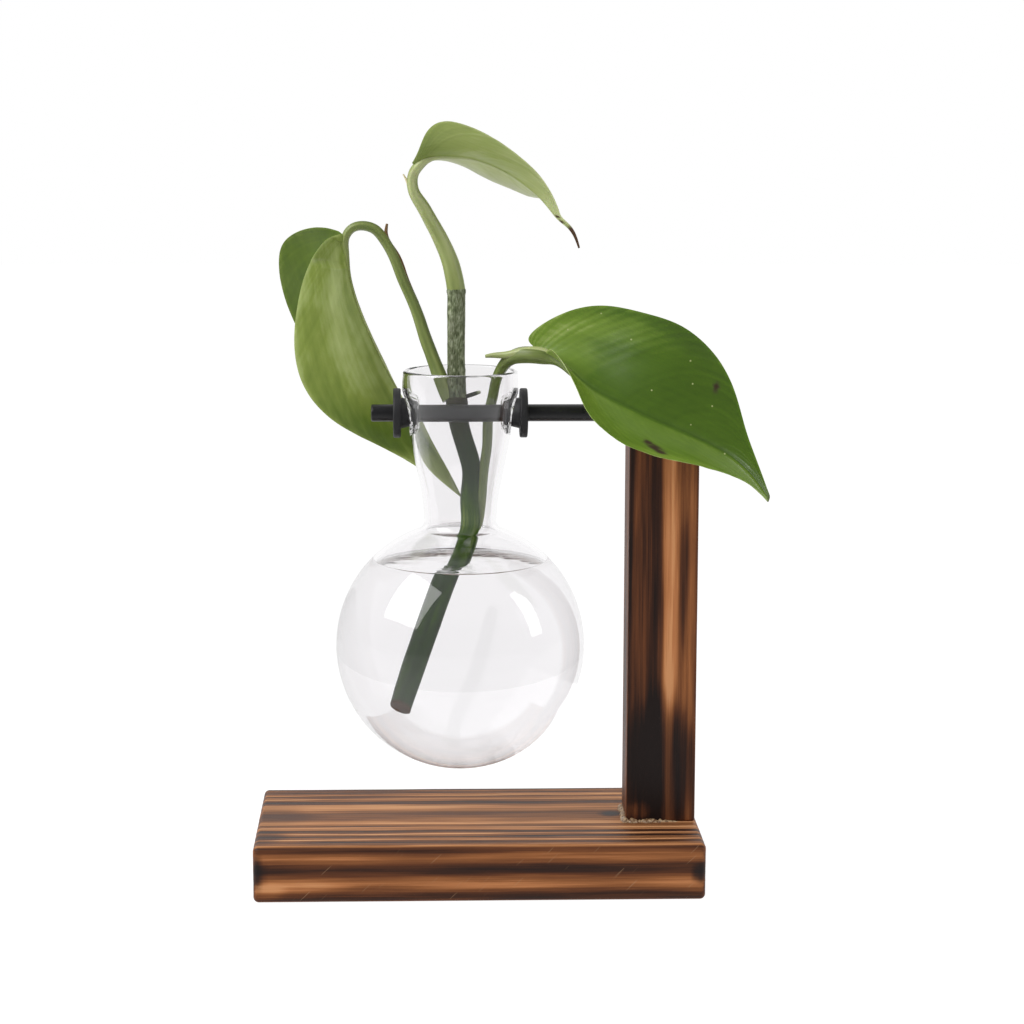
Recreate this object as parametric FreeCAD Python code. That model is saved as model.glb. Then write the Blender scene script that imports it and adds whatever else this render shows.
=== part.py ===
import FreeCAD, Part
import math
import os

# A round glass propagation vase that hangs by its neck from a black rod. The rod stands out of a
# charred wooden post on a charred wooden base board, and a leafy cutting stands in the vase.
# Millimetres. Origin: centre of the base board's underside. +X points to the post, +Y to the back,
# +Z up.

# Base board
base_length = 140.0
base_depth = 70.0
base_thickness = 18.0
base_edge_radius = 1.8

# Upright post, set in from the right end of the board
post_width = 22.0
post_depth = 18.0
post_inset = 1.0
post_above_rod = 15.0
post_edge_chamfer = 0.7

# Hanging rod
rod_diameter = 5.4
rod_in_post = 15.0
rod_end_chamfer = 0.5
rod_protrusion = 6.9
rod_socket_clearance = 0.05

# Countersunk screws that hold the post from beneath. The arms of the cross recess reach a share of
# the head's radius.
screw_diameter = 3.5
screw_head_diameter = 6.8
screw_head_rim = 0.5
screw_length = 35.0
screw_recess = 1.0
screw_spacing = 9.0
screw_slot_width = 0.9
screw_slot_depth = 1.2
screw_hole_end_gap = 0.5
screw_cross_reach_share = 0.55

# Squeezed-out glue round the foot of the post, along a share of the post's width
glue_width = 1.8
glue_height = 1.7
glue_top_width = 0.3
glue_reach_share = 0.75

# Glass vase: a ball under a funnel neck, hung with a gap under it and beside it
bulb_radius = 39.4
bulb_clearance = 16.7
bulb_post_gap = 13.1
glass_wall = 1.5
rim_radius = 17.9
rim_above_rod = 13.5
rod_above_waist = 34.0
waist_radius = 11.45
waist_fillet = 3.0
# The neck between waist and rim, from below: share of its height, share of its widening
neck_shares = ((0.14, 0.085), (0.32, 0.32), (0.76, 0.93), (0.875, 1.04))

# Dimples pressed into the neck, one each side, where the rod goes through
dimple_mouth_radius = 5.8
dimple_throat_radius = 3.6
dimple_depth = 4.1

# Rubber rings that grip the rod and seat in the dimples
ring_flange_diameter = 15.5
ring_flange_thickness = 2.4
ring_edge_radius = 0.4
ring_glass_gap = 0.45
ring_seat_gap = 0.3
ring_hub_set_in = 1.0
ring_bore_clearance = 0.05

# Stems of the cutting
stem_radius = 3.1
node_radius = 3.4
bark_radius = 2.85
stem_rod_gap = 1.2
foot_gap = 0.4
left_petiole_radius = 1.65
right_petiole_radius = 1.65
top_petiole_radius = 1.65
petiole_rod_gap = 0.85
bark_rise = 24.5
bark_set_back = 0.5
top_reach = 12.2
top_rise = 38.2
top_forward = 6.5
left_reach = 28.4
left_rise = 40.5
left_set_back = 3.0
right_reach = 13.4
right_rise = 4.6
right_forward = 7.5

# Leaves of the cutting, each measured along its midrib
leaf_thickness = 0.7
left_leaf_length = 92.0
right_leaf_length = 85.0
top_leaf_length = 62.0

# Small growths on the stems
root_radius = 0.65
root_length = 5.0
sheath_radius = 0.5

# One overrun for every cutting tool
overrun = 4.0

# Places worked out from the sizes above
base_top = base_thickness
post_right = base_length / 2 - post_inset
post_left = post_right - post_width
post_centre = post_right - post_width / 2
vase_x = post_left - bulb_post_gap - bulb_radius
ball_below_waist = math.sqrt((bulb_radius + waist_fillet) ** 2 - (waist_radius + waist_fillet) ** 2)
bulb_z = base_top + bulb_clearance + bulb_radius
waist_z = bulb_z + ball_below_waist
rod_z = waist_z + rod_above_waist
rim_z = rod_z + rim_above_rod
rod_radius = rod_diameter / 2
neck_height = rim_z - waist_z


def vector(x, y, z):
    return FreeCAD.Vector(x, y, z)


up = vector(0, 0, 1)
to_post = vector(1, 0, 0)
to_back = vector(0, 1, 0)


def unit(v):
    return v * (1.0 / v.Length)


def between(a, b, shares):
    """The point that lies at a share of the way from a to b along each axis."""
    sx, sy, sz = shares
    return vector(a.x + (b.x - a.x) * sx, a.y + (b.y - a.y) * sy, a.z + (b.z - a.z) * sz)


def line(a, b):
    return Part.LineSegment(a, b).toShape()


def arc(a, middle, b):
    return Part.Arc(a, middle, b).toShape()


def box(x0, x1, y0, y1, z0, z1):
    return Part.makeBox(x1 - x0, y1 - y0, z1 - z0, vector(x0, y0, z0))


def cylinder(radius, start, direction, length):
    return Part.makeCylinder(radius, length, start, direction)


def cone(r0, r1, start, direction, length):
    return Part.makeCone(r0, r1, length, start, direction)


def round_section(centre, tangent, radius):
    """A round section square to the tangent, as three arcs, turned alike all along a stem."""
    along = unit(tangent)
    side = unit(to_back - along * to_back.dot(along))
    other = along.cross(side)
    p = []
    for sixth in range(6):
        turn = math.radians(60 * sixth)
        p.append(centre + side * (radius * math.cos(turn)) + other * (radius * math.sin(turn)))
    return Part.Wire([arc(p[0], p[1], p[2]), arc(p[2], p[3], p[4]), arc(p[4], p[5], p[0])])


def stem(points, radii):
    """A smooth tapered stem through the points."""
    wires = []
    last = len(points) - 1
    for k, radius in enumerate(radii):
        tangent = points[min(k + 1, last)] - points[max(k - 1, 0)]
        wires.append(round_section(points[k], tangent, radius))
    return Part.makeLoft(wires, True, False)


def largest(shape):
    """The main solid of a cut, without crumbs."""
    return max(shape.Solids, key=lambda s: s.Volume)


# Stand


def make_base_board():
    board = box(-base_length / 2, base_length / 2, -base_depth / 2, base_depth / 2, 0, base_top)
    board = board.makeFillet(base_edge_radius, board.Edges)
    for place in screw_places():
        board = board.cut(screw_body(place, base_top + overrun))
    return board


def make_upright_post():
    post = box(post_left, post_right, -post_depth / 2, post_depth / 2, base_top, rod_z + post_above_rod)
    upper = [e for e in post.Edges if e.BoundBox.ZMax > base_top + post_edge_chamfer]
    post = post.makeChamfer(post_edge_chamfer, upper)
    socket_start = vector(post_left - overrun, 0, rod_z)
    socket = cylinder(rod_radius + rod_socket_clearance, socket_start, to_post, rod_in_post + overrun)
    post = post.cut(socket)
    for place in screw_places():
        depth = screw_recess + screw_length + screw_hole_end_gap
        post = post.cut(cylinder(screw_diameter / 2, place, up, depth))
    return post


def screw_places():
    return [vector(post_centre, side * screw_spacing / 2, 0) for side in (-1, 1)]


def screw_body(place, top):
    """The space of one screw from the underside up to a height: recess, head, shank."""
    head_radius = screw_head_diameter / 2
    shank_radius = screw_diameter / 2
    flat = screw_recess + screw_head_rim
    sink = head_radius - shank_radius
    body = cylinder(head_radius, place, up, flat)
    body = body.fuse(cone(head_radius, shank_radius, place + up * flat, up, sink))
    return body.fuse(cylinder(shank_radius, place + up * (flat + sink), up, top - flat - sink))


def make_post_screws():
    screws = []
    head_radius = screw_head_diameter / 2
    for place in screw_places():
        screw = screw_body(place, screw_recess + screw_length)
        screw = screw.cut(cylinder(head_radius + overrun, place, up, screw_recess))
        half = screw_slot_width / 2
        reach = head_radius * screw_cross_reach_share
        top = screw_recess + screw_slot_depth
        for across in (
            box(place.x - reach, place.x + reach, place.y - half, place.y + half, 0, top),
            box(place.x - half, place.x + half, place.y - reach, place.y + reach, 0, top),
        ):
            screw = screw.cut(across)
        screws.append(largest(screw))
    return Part.makeCompound(screws)


def make_hanging_rod():
    free_end = vase_x - ring_outer_face() - rod_protrusion
    rod = cylinder(rod_radius, vector(free_end, 0, rod_z), to_post, post_left + rod_in_post - free_end)
    ends = [e for e in rod.Edges if abs(e.BoundBox.XLength) < rod_end_chamfer]
    return rod.makeChamfer(rod_end_chamfer, ends)


def make_glue_bead():
    """A sloping bead on the board along the front, left and back of the post's foot."""
    right = post_left + post_width * glue_reach_share
    half = post_depth / 2

    def outline(out, z):
        corners = [
            vector(post_left - out, -half - out, z),
            vector(right, -half - out, z),
            vector(right, half + out, z),
            vector(post_left - out, half + out, z),
        ]
        return Part.makePolygon(corners + corners[:1])

    foot_outline = outline(glue_width, base_top)
    top_outline = outline(glue_top_width, base_top + glue_height)
    bead = Part.makeLoft([foot_outline, top_outline], True, True)
    foot = box(post_left, post_right, -half, half, base_top, base_top + glue_height + overrun)
    return largest(bead.cut(foot))


# Glass vase


def neck_outline(inset):
    """Radius and height of the neck's points from the waist to the rim, set in from the outside."""
    widening = rim_radius - waist_radius
    points = [(waist_radius - inset, waist_z)]
    for height_share, widening_share in neck_shares:
        radius = waist_radius + widening * widening_share - inset
        points.append((radius, waist_z + neck_height * height_share))
    points.append((rim_radius - inset, rim_z))
    return points


def neck_radius(z):
    """The neck's outer radius at a height, read off its outline."""
    points = neck_outline(0)
    for (r0, z0), (r1, z1) in zip(points, points[1:]):
        if z <= z1:
            return r0 + (r1 - r0) * (z - z0) / (z1 - z0)
    return points[-1][0]


def side_edges(inset, pole, lip):
    """The edges of one face of the glass from the lowest pole up to the lip."""

    def at(radius, z):
        return vector(radius, 0, z)

    ball = bulb_radius - inset
    ball_centre = at(0, bulb_z)
    fillet_centre = at(waist_radius + waist_fillet, waist_z)
    to_ball = unit(ball_centre - fillet_centre)
    fillet = waist_fillet + inset
    joint = fillet_centre + to_ball * fillet
    halfway = unit(to_ball + vector(-1, 0, 0))
    neck = [at(r, z) for r, z in neck_outline(inset)]
    return [
        arc(pole, at(ball, bulb_z), joint),
        arc(joint, fillet_centre + halfway * fillet, neck[0]),
        arc(neck[0], neck[1], neck[2]),
        line(neck[2], neck[3]),
        arc(neck[3], neck[4], lip),
    ]


def glass_profile(solid):
    """Half section of the glass, or of the full space inside its outer face."""
    low_outer = vector(0, 0, bulb_z - bulb_radius)
    low_inner = vector(0, 0, bulb_z - bulb_radius + glass_wall)
    if solid:
        lip = vector(rim_radius, 0, rim_z)
        top = vector(0, 0, rim_z)
        return side_edges(0, low_outer, lip) + [line(lip, top), line(top, low_outer)]
    round_rim = glass_wall / 2
    outer_lip = vector(rim_radius, 0, rim_z - round_rim)
    inner_lip = vector(rim_radius - glass_wall, 0, rim_z - round_rim)
    crest = vector(rim_radius - round_rim, 0, rim_z)
    outside = side_edges(0, low_outer, outer_lip)
    inside = side_edges(glass_wall, low_inner, inner_lip)
    return outside + [arc(outer_lip, crest, inner_lip)] + inside + [line(low_inner, low_outer)]


def turned(edges):
    """A profile turned about the vase's axis."""
    face = Part.Face(Part.Wire(Part.__sortEdges__(edges)))
    solid = face.revolve(vector(0, 0, 0), up, 360)
    solid.translate(vector(vase_x, 0, 0))
    return solid


def dimple_slope():
    return (dimple_mouth_radius - dimple_throat_radius) / dimple_depth


def dimple_throat_at():
    """Distance of a dimple's inner end from the vase's axis."""
    return neck_radius(rod_z) - dimple_depth


def dimple_cone(side, start, end, thicken):
    """A cone on the rod's axis that follows the dimple from one distance to another."""
    centre = vector(vase_x + side * start, 0, rod_z)
    r0 = dimple_throat_radius + (start - dimple_throat_at()) * dimple_slope() + thicken
    r1 = dimple_throat_radius + (end - dimple_throat_at()) * dimple_slope() + thicken
    return cone(r0, r1, centre, to_post * side, end - start)


def make_glass_vase():
    vase = turned(glass_profile(False))
    filled = turned(glass_profile(True))
    outer = neck_radius(rod_z) + overrun
    wall_of_dimple = glass_wall * math.sqrt(1 + dimple_slope() ** 2)
    for side in (-1, 1):
        collar = dimple_cone(side, dimple_throat_at(), outer, wall_of_dimple).common(filled)
        vase = vase.fuse(collar)
    for side in (-1, 1):
        vase = vase.cut(dimple_cone(side, dimple_throat_at() - glass_wall, outer, 0))
    return largest(vase.removeSplitter())


# Rubber rings


def ring_inner_face():
    return rim_radius + (rim_radius - waist_radius) * (neck_shares[-1][1] - 1) + ring_glass_gap


def ring_outer_face():
    return ring_inner_face() + ring_flange_thickness


def make_rubber_ring(side):
    """A flange with a tapered hub that seats in one dimple."""
    face = ring_inner_face()
    flange_start = vector(vase_x + side * face, 0, rod_z)
    flange = cylinder(ring_flange_diameter / 2, flange_start, to_post * side, ring_flange_thickness)
    rims = [e for e in flange.Edges if e.BoundBox.XLength < ring_edge_radius]
    flange = flange.makeFillet(ring_edge_radius, rims)
    hub_start = dimple_throat_at() + ring_hub_set_in
    hub = dimple_cone(side, hub_start, face + ring_flange_thickness / 2, -ring_seat_gap)
    bore_radius = rod_radius + ring_bore_clearance
    bore = cylinder(bore_radius, vector(vase_x, 0, rod_z), to_post * side, ring_outer_face() + overrun)
    return largest(flange.fuse(hub).cut(bore).removeSplitter())


# Stems. Each route runs through a few anchors, with shares of the way between them.

waist_inner = waist_radius - glass_wall
rim_inner = rim_radius - glass_wall

# Where each stem passes the waist, the rod and the rim, as shares of the glass's inside radius there
vine_waist_shares = (0.34, 0.26)
right_waist_shares = (0.62, 0.43)
vine_rod_share = -0.05
right_rod_share = 0.57
left_rim_shares = (-0.46, 0.67)
top_rim_shares = (-0.07, 0.52)
right_rim_shares = (0.78, 0.09)

# Where the vine's node lies between the rod and the rim
node_shares = (0.3, 0.5, 0.26)

# Direction from the ball's centre to the cut foot of the vine, as shares of its distance
foot_shares = (-0.455, -0.749, -0.481)


def across_waist(shares):
    """A point level with the waist, at shares of the glass's inside radius there."""
    return vector(vase_x + waist_inner * shares[0], waist_inner * shares[1], waist_z)


def across_rim(shares):
    """A point level with the rim, at shares of the glass's inside radius there."""
    return vector(vase_x + rim_inner * shares[0], rim_inner * shares[1], rim_z)


def behind_rod(share, radius, gap):
    """A point where a stem of this radius passes behind the rod with a gap."""
    return vector(vase_x + rim_inner * share, rod_radius + gap + radius, rod_z)


vine_at_waist = across_waist(vine_waist_shares)
right_at_waist = across_waist(right_waist_shares)
vine_at_rod = behind_rod(vine_rod_share, stem_radius, stem_rod_gap)
right_at_rod = behind_rod(right_rod_share, right_petiole_radius, petiole_rod_gap)
left_at_rim = across_rim(left_rim_shares)
top_at_rim = across_rim(top_rim_shares)
right_at_rim = across_rim(right_rim_shares)
node_point = between(vine_at_rod, top_at_rim, node_shares)
bark_top = top_at_rim + vector(0, bark_set_back, bark_rise)
top_root = bark_top + vector(-top_reach, -top_forward, top_rise)
left_root = left_at_rim + vector(-left_reach, left_set_back, left_rise)
right_root = right_at_rim + vector(right_reach, -right_forward, right_rise)


def vine_foot():
    """Centre of the cut end, as far out as leaves the end's edge clear of the glass."""
    direction = unit(vector(*foot_shares))
    centre = vector(vase_x, 0, bulb_z)
    slant = unit(vine_at_waist - (centre + direction * bulb_radius)).dot(direction * -1)
    reach = bulb_radius - glass_wall - foot_gap
    sideways = math.sqrt(1 - slant ** 2)
    distance = math.sqrt(reach ** 2 - (stem_radius * slant) ** 2) - stem_radius * sideways
    return centre + direction * distance


# Places along each stem, as shares of the way between two anchors, along each axis
vine_waist_to_rod_shares = ((0.05, 0.45, 0.17), (-0.1, 0.85, 0.44), (0.5, 1.0, 0.72))
vine_bulb_shares = (0.35, 0.7)
upper_rim_to_bark_shares = (0.3, 0.6)
right_start_shares = (0.45, 0.45, 0)
right_start_on_vine_share = 0.9
right_waist_to_rod_shares = ((0.18, 0.2, 0.12), (0.54, 1.3, 0.5), (0.79, 1.4, 0.67))
right_rod_to_rim_shares = ((0.33, 0.16, 0.37), (0.57, 0.43, 0.69))
right_rim_to_root_shares = ((0.25, 0.47, 0.85), (0.51, 0.73, 1.09), (0.79, 0.93, 1.09))
left_node_to_rim_shares = ((0.35, 0.1, 0.0), (0.6, 0.4, 0.35))
left_rim_to_root_shares = (
    (0.116, 0.5, 0.22),
    (0.243, 0.83, 0.478),
    (0.366, 1, 0.67),
    (0.475, 1, 0.863),
    (0.58, 1, 0.99),
    (0.67, 1, 1.06),
    (0.813, 1, 1.09),
    (0.923, 1, 1.07),
)
top_bark_to_root_shares = (
    (0.065, 0, 0.11),
    (0.205, 0.077, 0.27),
    (0.426, 0.154, 0.427),
    (0.64, 0.31, 0.558),
    (0.893, 0.46, 0.7),
    (1.066, 0.615, 0.797),
    (1.123, 0.69, 0.878),
    (1.08, 0.846, 0.96),
)

# Thickness along each stem, as shares of its named radius, or of the way from one radius to the next
bark_radius_shares = (0, 1, 1, 1, 1)
left_radius_shares = (1.5, 1.45, 1.35, 1.22, 1.05, 0.97, 0.96, 0.97, 1.0, 1.0, 1.0, 1.0)
right_radius_shares = (0.9, 1.0, 1.0, 1.0, 1.0, 1.0, 1.0, 1.0, 1.1, 1.35, 1.6, 1.6, 1.45)
top_radius_shares = (1.73, 1.7, 1.58, 1.45, 1.36, 1.25, 1.1, 1.02, 1.0, 1.0)
midrib_radius_shares = (0.85, 0.5)


def vine_points():
    foot = vine_foot()
    points = [foot]
    points += [between(foot, vine_at_waist, (s, s, s)) for s in vine_bulb_shares]
    points.append(vine_at_waist)
    points += [between(vine_at_waist, vine_at_rod, s) for s in vine_waist_to_rod_shares]
    return points + [vine_at_rod, node_point]


def upper_points():
    middle = [between(top_at_rim, bark_top, (s, s, s)) for s in upper_rim_to_bark_shares]
    return [node_point, top_at_rim] + middle + [bark_top]


def top_points():
    return [bark_top] + [between(bark_top, top_root, s) for s in top_bark_to_root_shares] + [top_root]


def left_points():
    points = [between(node_point, left_at_rim, s) for s in left_node_to_rim_shares]
    points.append(left_at_rim)
    points += [between(left_at_rim, left_root, s) for s in left_rim_to_root_shares]
    return points + [left_root]


def right_points():
    on_vine = between(vine_foot(), vine_at_waist, (right_start_on_vine_share,) * 3)
    points = [between(on_vine, right_at_waist, right_start_shares), right_at_waist]
    points += [between(right_at_waist, right_at_rod, s) for s in right_waist_to_rod_shares]
    points.append(right_at_rod)
    points += [between(right_at_rod, right_at_rim, s) for s in right_rod_to_rim_shares]
    points.append(right_at_rim)
    points += [between(right_at_rim, right_root, s) for s in right_rim_to_root_shares]
    return points + [right_root]


# Leaves. Each row gives, at one place along the leaf, the midrib and the near and far margins, as
# shares of the leaf's length from its root. Each leaf is folded along its midrib.

left_leaf_shares = (
    ((0, 0, 0), (-0.012, -0.012, 0.012), (-0.014, 0.016, 0.016)),
    ((0.002, 0.005, -0.05), (-0.067, -0.033, -0.01), (-0.093, 0.043, 0.032)),
    ((0.01, 0.01, -0.11), (-0.122, -0.06, -0.09), (-0.19, 0.1, 0)),
    ((0.03, 0.016, -0.2), (-0.16, -0.075, -0.215), (-0.235, 0.14, -0.09)),
    ((0.07, 0.027, -0.305), (-0.175, -0.075, -0.35), (-0.22, 0.185, -0.215)),
    ((0.127, 0.038, -0.43), (-0.145, -0.06, -0.505), (-0.15, 0.205, -0.385)),
    ((0.196, 0.048, -0.565), (-0.038, -0.038, -0.633), (-0.035, 0.195, -0.55)),
    ((0.272, 0.048, -0.692), (0.105, -0.01, -0.716), (0.125, 0.15, -0.688)),
    ((0.345, 0.038, -0.808), (0.254, 0.016, -0.804), (0.265, 0.098, -0.798)),
    ((0.401, 0.033, -0.905), (0.391, 0.026, -0.9), (0.391, 0.042, -0.9)),
)
right_leaf_shares = (
    ((0, 0, 0), (0, -0.018, 0.016), (-0.014, 0.018, 0.024)),
    ((0.04, -0.025, -0.013), (0.02, -0.07, 0.032), (-0.05, 0.035, 0.092)),
    ((0.088, -0.06, -0.05), (0.078, -0.165, -0.04), (0.055, 0.035, 0.155)),
    ((0.16, -0.1, -0.105), (0.124, -0.26, -0.142), (0.2, 0, 0.188)),
    ((0.25, -0.14, -0.15), (0.18, -0.33, -0.216), (0.34, -0.06, 0.17)),
    ((0.353, -0.176, -0.196), (0.29, -0.365, -0.287), (0.482, -0.106, 0.126)),
    ((0.456, -0.194, -0.24), (0.434, -0.365, -0.33), (0.596, -0.13, 0.034)),
    ((0.567, -0.206, -0.29), (0.58, -0.33, -0.368), (0.675, -0.153, -0.1)),
    ((0.672, -0.218, -0.35), (0.694, -0.282, -0.414), (0.718, -0.182, -0.247)),
    ((0.748, -0.224, -0.424), (0.753, -0.25, -0.46), (0.76, -0.206, -0.364)),
    ((0.8, -0.23, -0.495), (0.794, -0.238, -0.502), (0.803, -0.222, -0.48)),
)
top_leaf_shares = (
    ((0, 0, 0), (-0.03, -0.016, 0.015), (0.006, 0.024, 0.003)),
    ((0.035, -0.008, 0.032), (0, -0.056, 0.07), (0.052, 0.073, 0.032)),
    ((0.095, -0.016, 0.05), (0.04, -0.12, 0.165), (0.123, 0.153, 0.048)),
    ((0.174, -0.024, 0.052), (0.115, -0.17, 0.226), (0.21, 0.218, 0.024)),
    ((0.265, -0.032, 0.045), (0.226, -0.194, 0.215), (0.3, 0.25, -0.032)),
    ((0.365, -0.04, 0.016), (0.37, -0.194, 0.152), (0.408, 0.242, -0.085)),
    ((0.465, -0.04, -0.034), (0.513, -0.17, 0.052), (0.503, 0.2, -0.126)),
    ((0.553, -0.048, -0.097), (0.63, -0.13, -0.068), (0.58, 0.12, -0.153)),
    ((0.623, -0.056, -0.161), (0.697, -0.09, -0.187), (0.632, 0.01, -0.166)),
    ((0.698, -0.065, -0.247), (0.74, -0.085, -0.25), (0.69, -0.03, -0.256)),
    ((0.763, -0.07, -0.3), (0.783, -0.09, -0.296), (0.745, -0.052, -0.312)),
    ((0.808, -0.07, -0.398), (0.824, -0.084, -0.394), (0.79, -0.058, -0.402)),
)

# How far each half of a leaf bows outwards, as a share of the half's width
leaf_bow_share = 0.1

# The tightest fold that still gives the blade an even thickness
steepest_fold_share = 0.4

# Rows at a leaf's root and at its tip that take the fold of the next row inwards
root_rows_held = 2
tip_rows_held = 3


def leaf_rows(root, length, table_shares):
    """The rail points of a leaf in place: midrib, near margin, far margin."""
    return [[root + vector(*place) * length for place in row] for row in table_shares]


def fold_direction(row):
    """Square to the line from margin to margin, pointing out of the fold."""
    midrib, near, far = row
    across = unit(far - near)
    out = midrib - (near + far) * 0.5
    return unit(out - across * out.dot(across))


def blade_section(row, out, at_end):
    """One closed section of the blade: two bowed halves on the outside, two on the inside."""
    midrib, near, far = row
    across = unit(far - near)
    out = unit(out - across * out.dot(across))
    if at_end:
        midrib = (near + far) * 0.5 + out * leaf_thickness
    halves = []
    for margin, other in ((near, far), (far, near)):
        chord = midrib - margin
        facing = out - chord * (out.dot(chord) / chord.dot(chord))
        facing = unit(facing)
        bow = facing * (chord.Length * leaf_bow_share)
        halves.append((margin, margin - facing * leaf_thickness, bow, facing))
    steepness = max(min(half[3].dot(out) for half in halves), steepest_fold_share)
    inside = midrib - out * (leaf_thickness / steepness)
    (near, near_in, near_bow, near_facing), (far, far_in, far_bow, far_facing) = halves
    return Part.Wire(
        [
            line(near_in, near),
            arc(near, (near + midrib) * 0.5 + near_bow, midrib),
            arc(midrib, (far + midrib) * 0.5 + far_bow, far),
            line(far, far_in),
            arc(far_in, (far_in + inside) * 0.5 + far_bow, inside),
            arc(inside, (near_in + inside) * 0.5 + near_bow, near_in),
        ]
    )


def make_leaf(root, length, table_shares):
    rows = leaf_rows(root, length, table_shares)
    last = len(rows) - 1
    sections = []
    for k, row in enumerate(rows):
        out = fold_direction(rows[min(max(k, root_rows_held), last - tip_rows_held)])
        sections.append(blade_section(row, out, k in (0, last)))
    return Part.makeLoft(sections, True, False)


def make_petiole(points, radius, radius_shares, root, length, table_shares):
    """A leaf stalk that runs out as the start of the leaf's midrib."""
    rows = leaf_rows(root, length, table_shares)
    points = points + [rows[1][0], rows[2][0]]
    shares = radius_shares + midrib_radius_shares
    return stem(points, [radius * s for s in shares])


# Small growths on the stems

# Direction of the aerial root, and places along it as shares of its length
root_direction_shares = (0.9, -0.25, 0.3)
root_run_shares = (-0.3, 0.35, 0.85)
root_end_share = 0.8

# Thickness of a sheath at its two ends, as shares of its radius
sheath_start_share = 0.7
sheath_tip_share = 0.5

# The stretch of its stalk that each sheath follows, the side it lies on, and its free tip, as
# shares of the stalk's thickness from there
top_sheath_span = slice(3, 8)
left_sheath_span = slice(4, 8)
right_sheath_span = slice(12, 8, -1)
top_sheath_side_shares = (-1, 0, -0.45)
left_sheath_side_shares = (1, 0, 0.55)
right_sheath_side_shares = (-0.25, 0, 1)
top_sheath_tip_shares = (-1.1, 0, 2.0)
left_sheath_tip_shares = (1.1, 0, 3.4)
right_sheath_tip_shares = (-3.6, 0, 0.6)


def make_aerial_root():
    """A short dried root that points out of the node towards the post."""
    direction = unit(vector(*root_direction_shares))
    points = [node_point + direction * (node_radius + root_length * s) for s in root_run_shares]
    return stem(points, [root_radius, root_radius, root_radius * root_end_share])


def make_sheath(points, radius, radius_shares, span, side_shares, tip_shares):
    """A thin dry edge that hugs one side of a stalk and ends in a free tip."""
    side = unit(vector(*side_shares))
    run = [p + side * (radius * s) for p, s in zip(points[span], radius_shares[span])]
    run.append(run[-1] + vector(*tip_shares) * radius)
    sizes = [sheath_radius] * len(run)
    sizes[0] = sheath_radius * sheath_start_share
    sizes[-1] = sheath_radius * sheath_tip_share
    return stem(run, sizes)


def make_stems():
    vine_radii = [stem_radius] * (len(vine_points()) - 1) + [node_radius]
    upper_radii = [node_radius + (bark_radius - node_radius) * s for s in bark_radius_shares]
    return [
        ("vine_stem", stem(vine_points(), vine_radii)),
        ("upper_stem", stem(upper_points(), upper_radii)),
        ("aerial_root", make_aerial_root()),
    ]


def make_leaf_and_stalk(name, points, radius, radius_shares, root, length, leaf_shares, sheath):
    """One leaf with its petiole and the dry sheath on it, under their names."""
    return [
        (name + "_leaf", make_leaf(root, length, leaf_shares)),
        (name + "_petiole", make_petiole(points, radius, radius_shares, root, length, leaf_shares)),
        (name + "_sheath", make_sheath(points, radius, radius_shares, *sheath)),
    ]


def make_plant():
    """The cutting's pieces, each cut back where an earlier one is."""
    grown = make_stems()
    grown += make_leaf_and_stalk(
        "top", top_points(), top_petiole_radius, top_radius_shares,
        top_root, top_leaf_length, top_leaf_shares,
        (top_sheath_span, top_sheath_side_shares, top_sheath_tip_shares),
    )
    grown += make_leaf_and_stalk(
        "left", left_points(), left_petiole_radius, left_radius_shares,
        left_root, left_leaf_length, left_leaf_shares,
        (left_sheath_span, left_sheath_side_shares, left_sheath_tip_shares),
    )
    grown += make_leaf_and_stalk(
        "right", right_points(), right_petiole_radius, right_radius_shares,
        right_root, right_leaf_length, right_leaf_shares,
        (right_sheath_span, right_sheath_side_shares, right_sheath_tip_shares),
    )
    return cut_back(grown)


# Which earlier pieces each piece of the cutting is cut back by
grows_from = {
    "upper_stem": ("vine_stem",),
    "aerial_root": ("vine_stem", "upper_stem"),
    "top_petiole": ("upper_stem", "top_leaf"),
    "left_petiole": ("vine_stem", "upper_stem", "left_leaf"),
    "right_petiole": ("vine_stem", "right_leaf"),
    "top_sheath": ("top_petiole", "top_leaf"),
    "left_sheath": ("left_petiole",),
    "right_sheath": ("right_petiole", "right_leaf"),
}


def cut_back(grown):
    done = {}
    for name, shape in grown:
        for parent in grows_from.get(name, ()):
            shape = shape.cut(done[parent])
        done[name] = largest(shape)
    return done


def make_parts():
    parts = {
        "base_board": make_base_board(),
        "upright_post": make_upright_post(),
        "post_screws": make_post_screws(),
        "hanging_rod": make_hanging_rod(),
        "glue_bead": make_glue_bead(),
        "glass_vase": make_glass_vase(),
        "rubber_ring_left": make_rubber_ring(-1),
        "rubber_ring_right": make_rubber_ring(1),
    }
    parts.update(make_plant())
    return parts


def main():
    os.makedirs("parts", exist_ok=True)
    for name, shape in make_parts().items():
        shape.exportStep("parts/" + name + ".step")
        size = shape.BoundBox
        print(name, len(shape.Solids), shape.isValid(), round(shape.Volume, 1),
              [round(v, 1) for v in (size.XMin, size.XMax, size.YMin, size.YMax, size.ZMin, size.ZMax)])


main()
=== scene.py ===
"""A round glass propagation vase with a leafy cutting, hung from a rod on a charred wooden stand.

Blender 4.5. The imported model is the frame. Each piece here is a finer surface in the place of one
of its nodes, but for the water, which is added. The screws keep their own mesh. Lengths are
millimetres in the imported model's own frame, and the mesh builder turns them to metres. X points to
the post, Y to the back, Z up.
"""

import logging
import math
from dataclasses import dataclass, field
from enum import Enum
from functools import partial

import bmesh
import bpy
import numpy as np
from mathutils import Matrix


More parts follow.
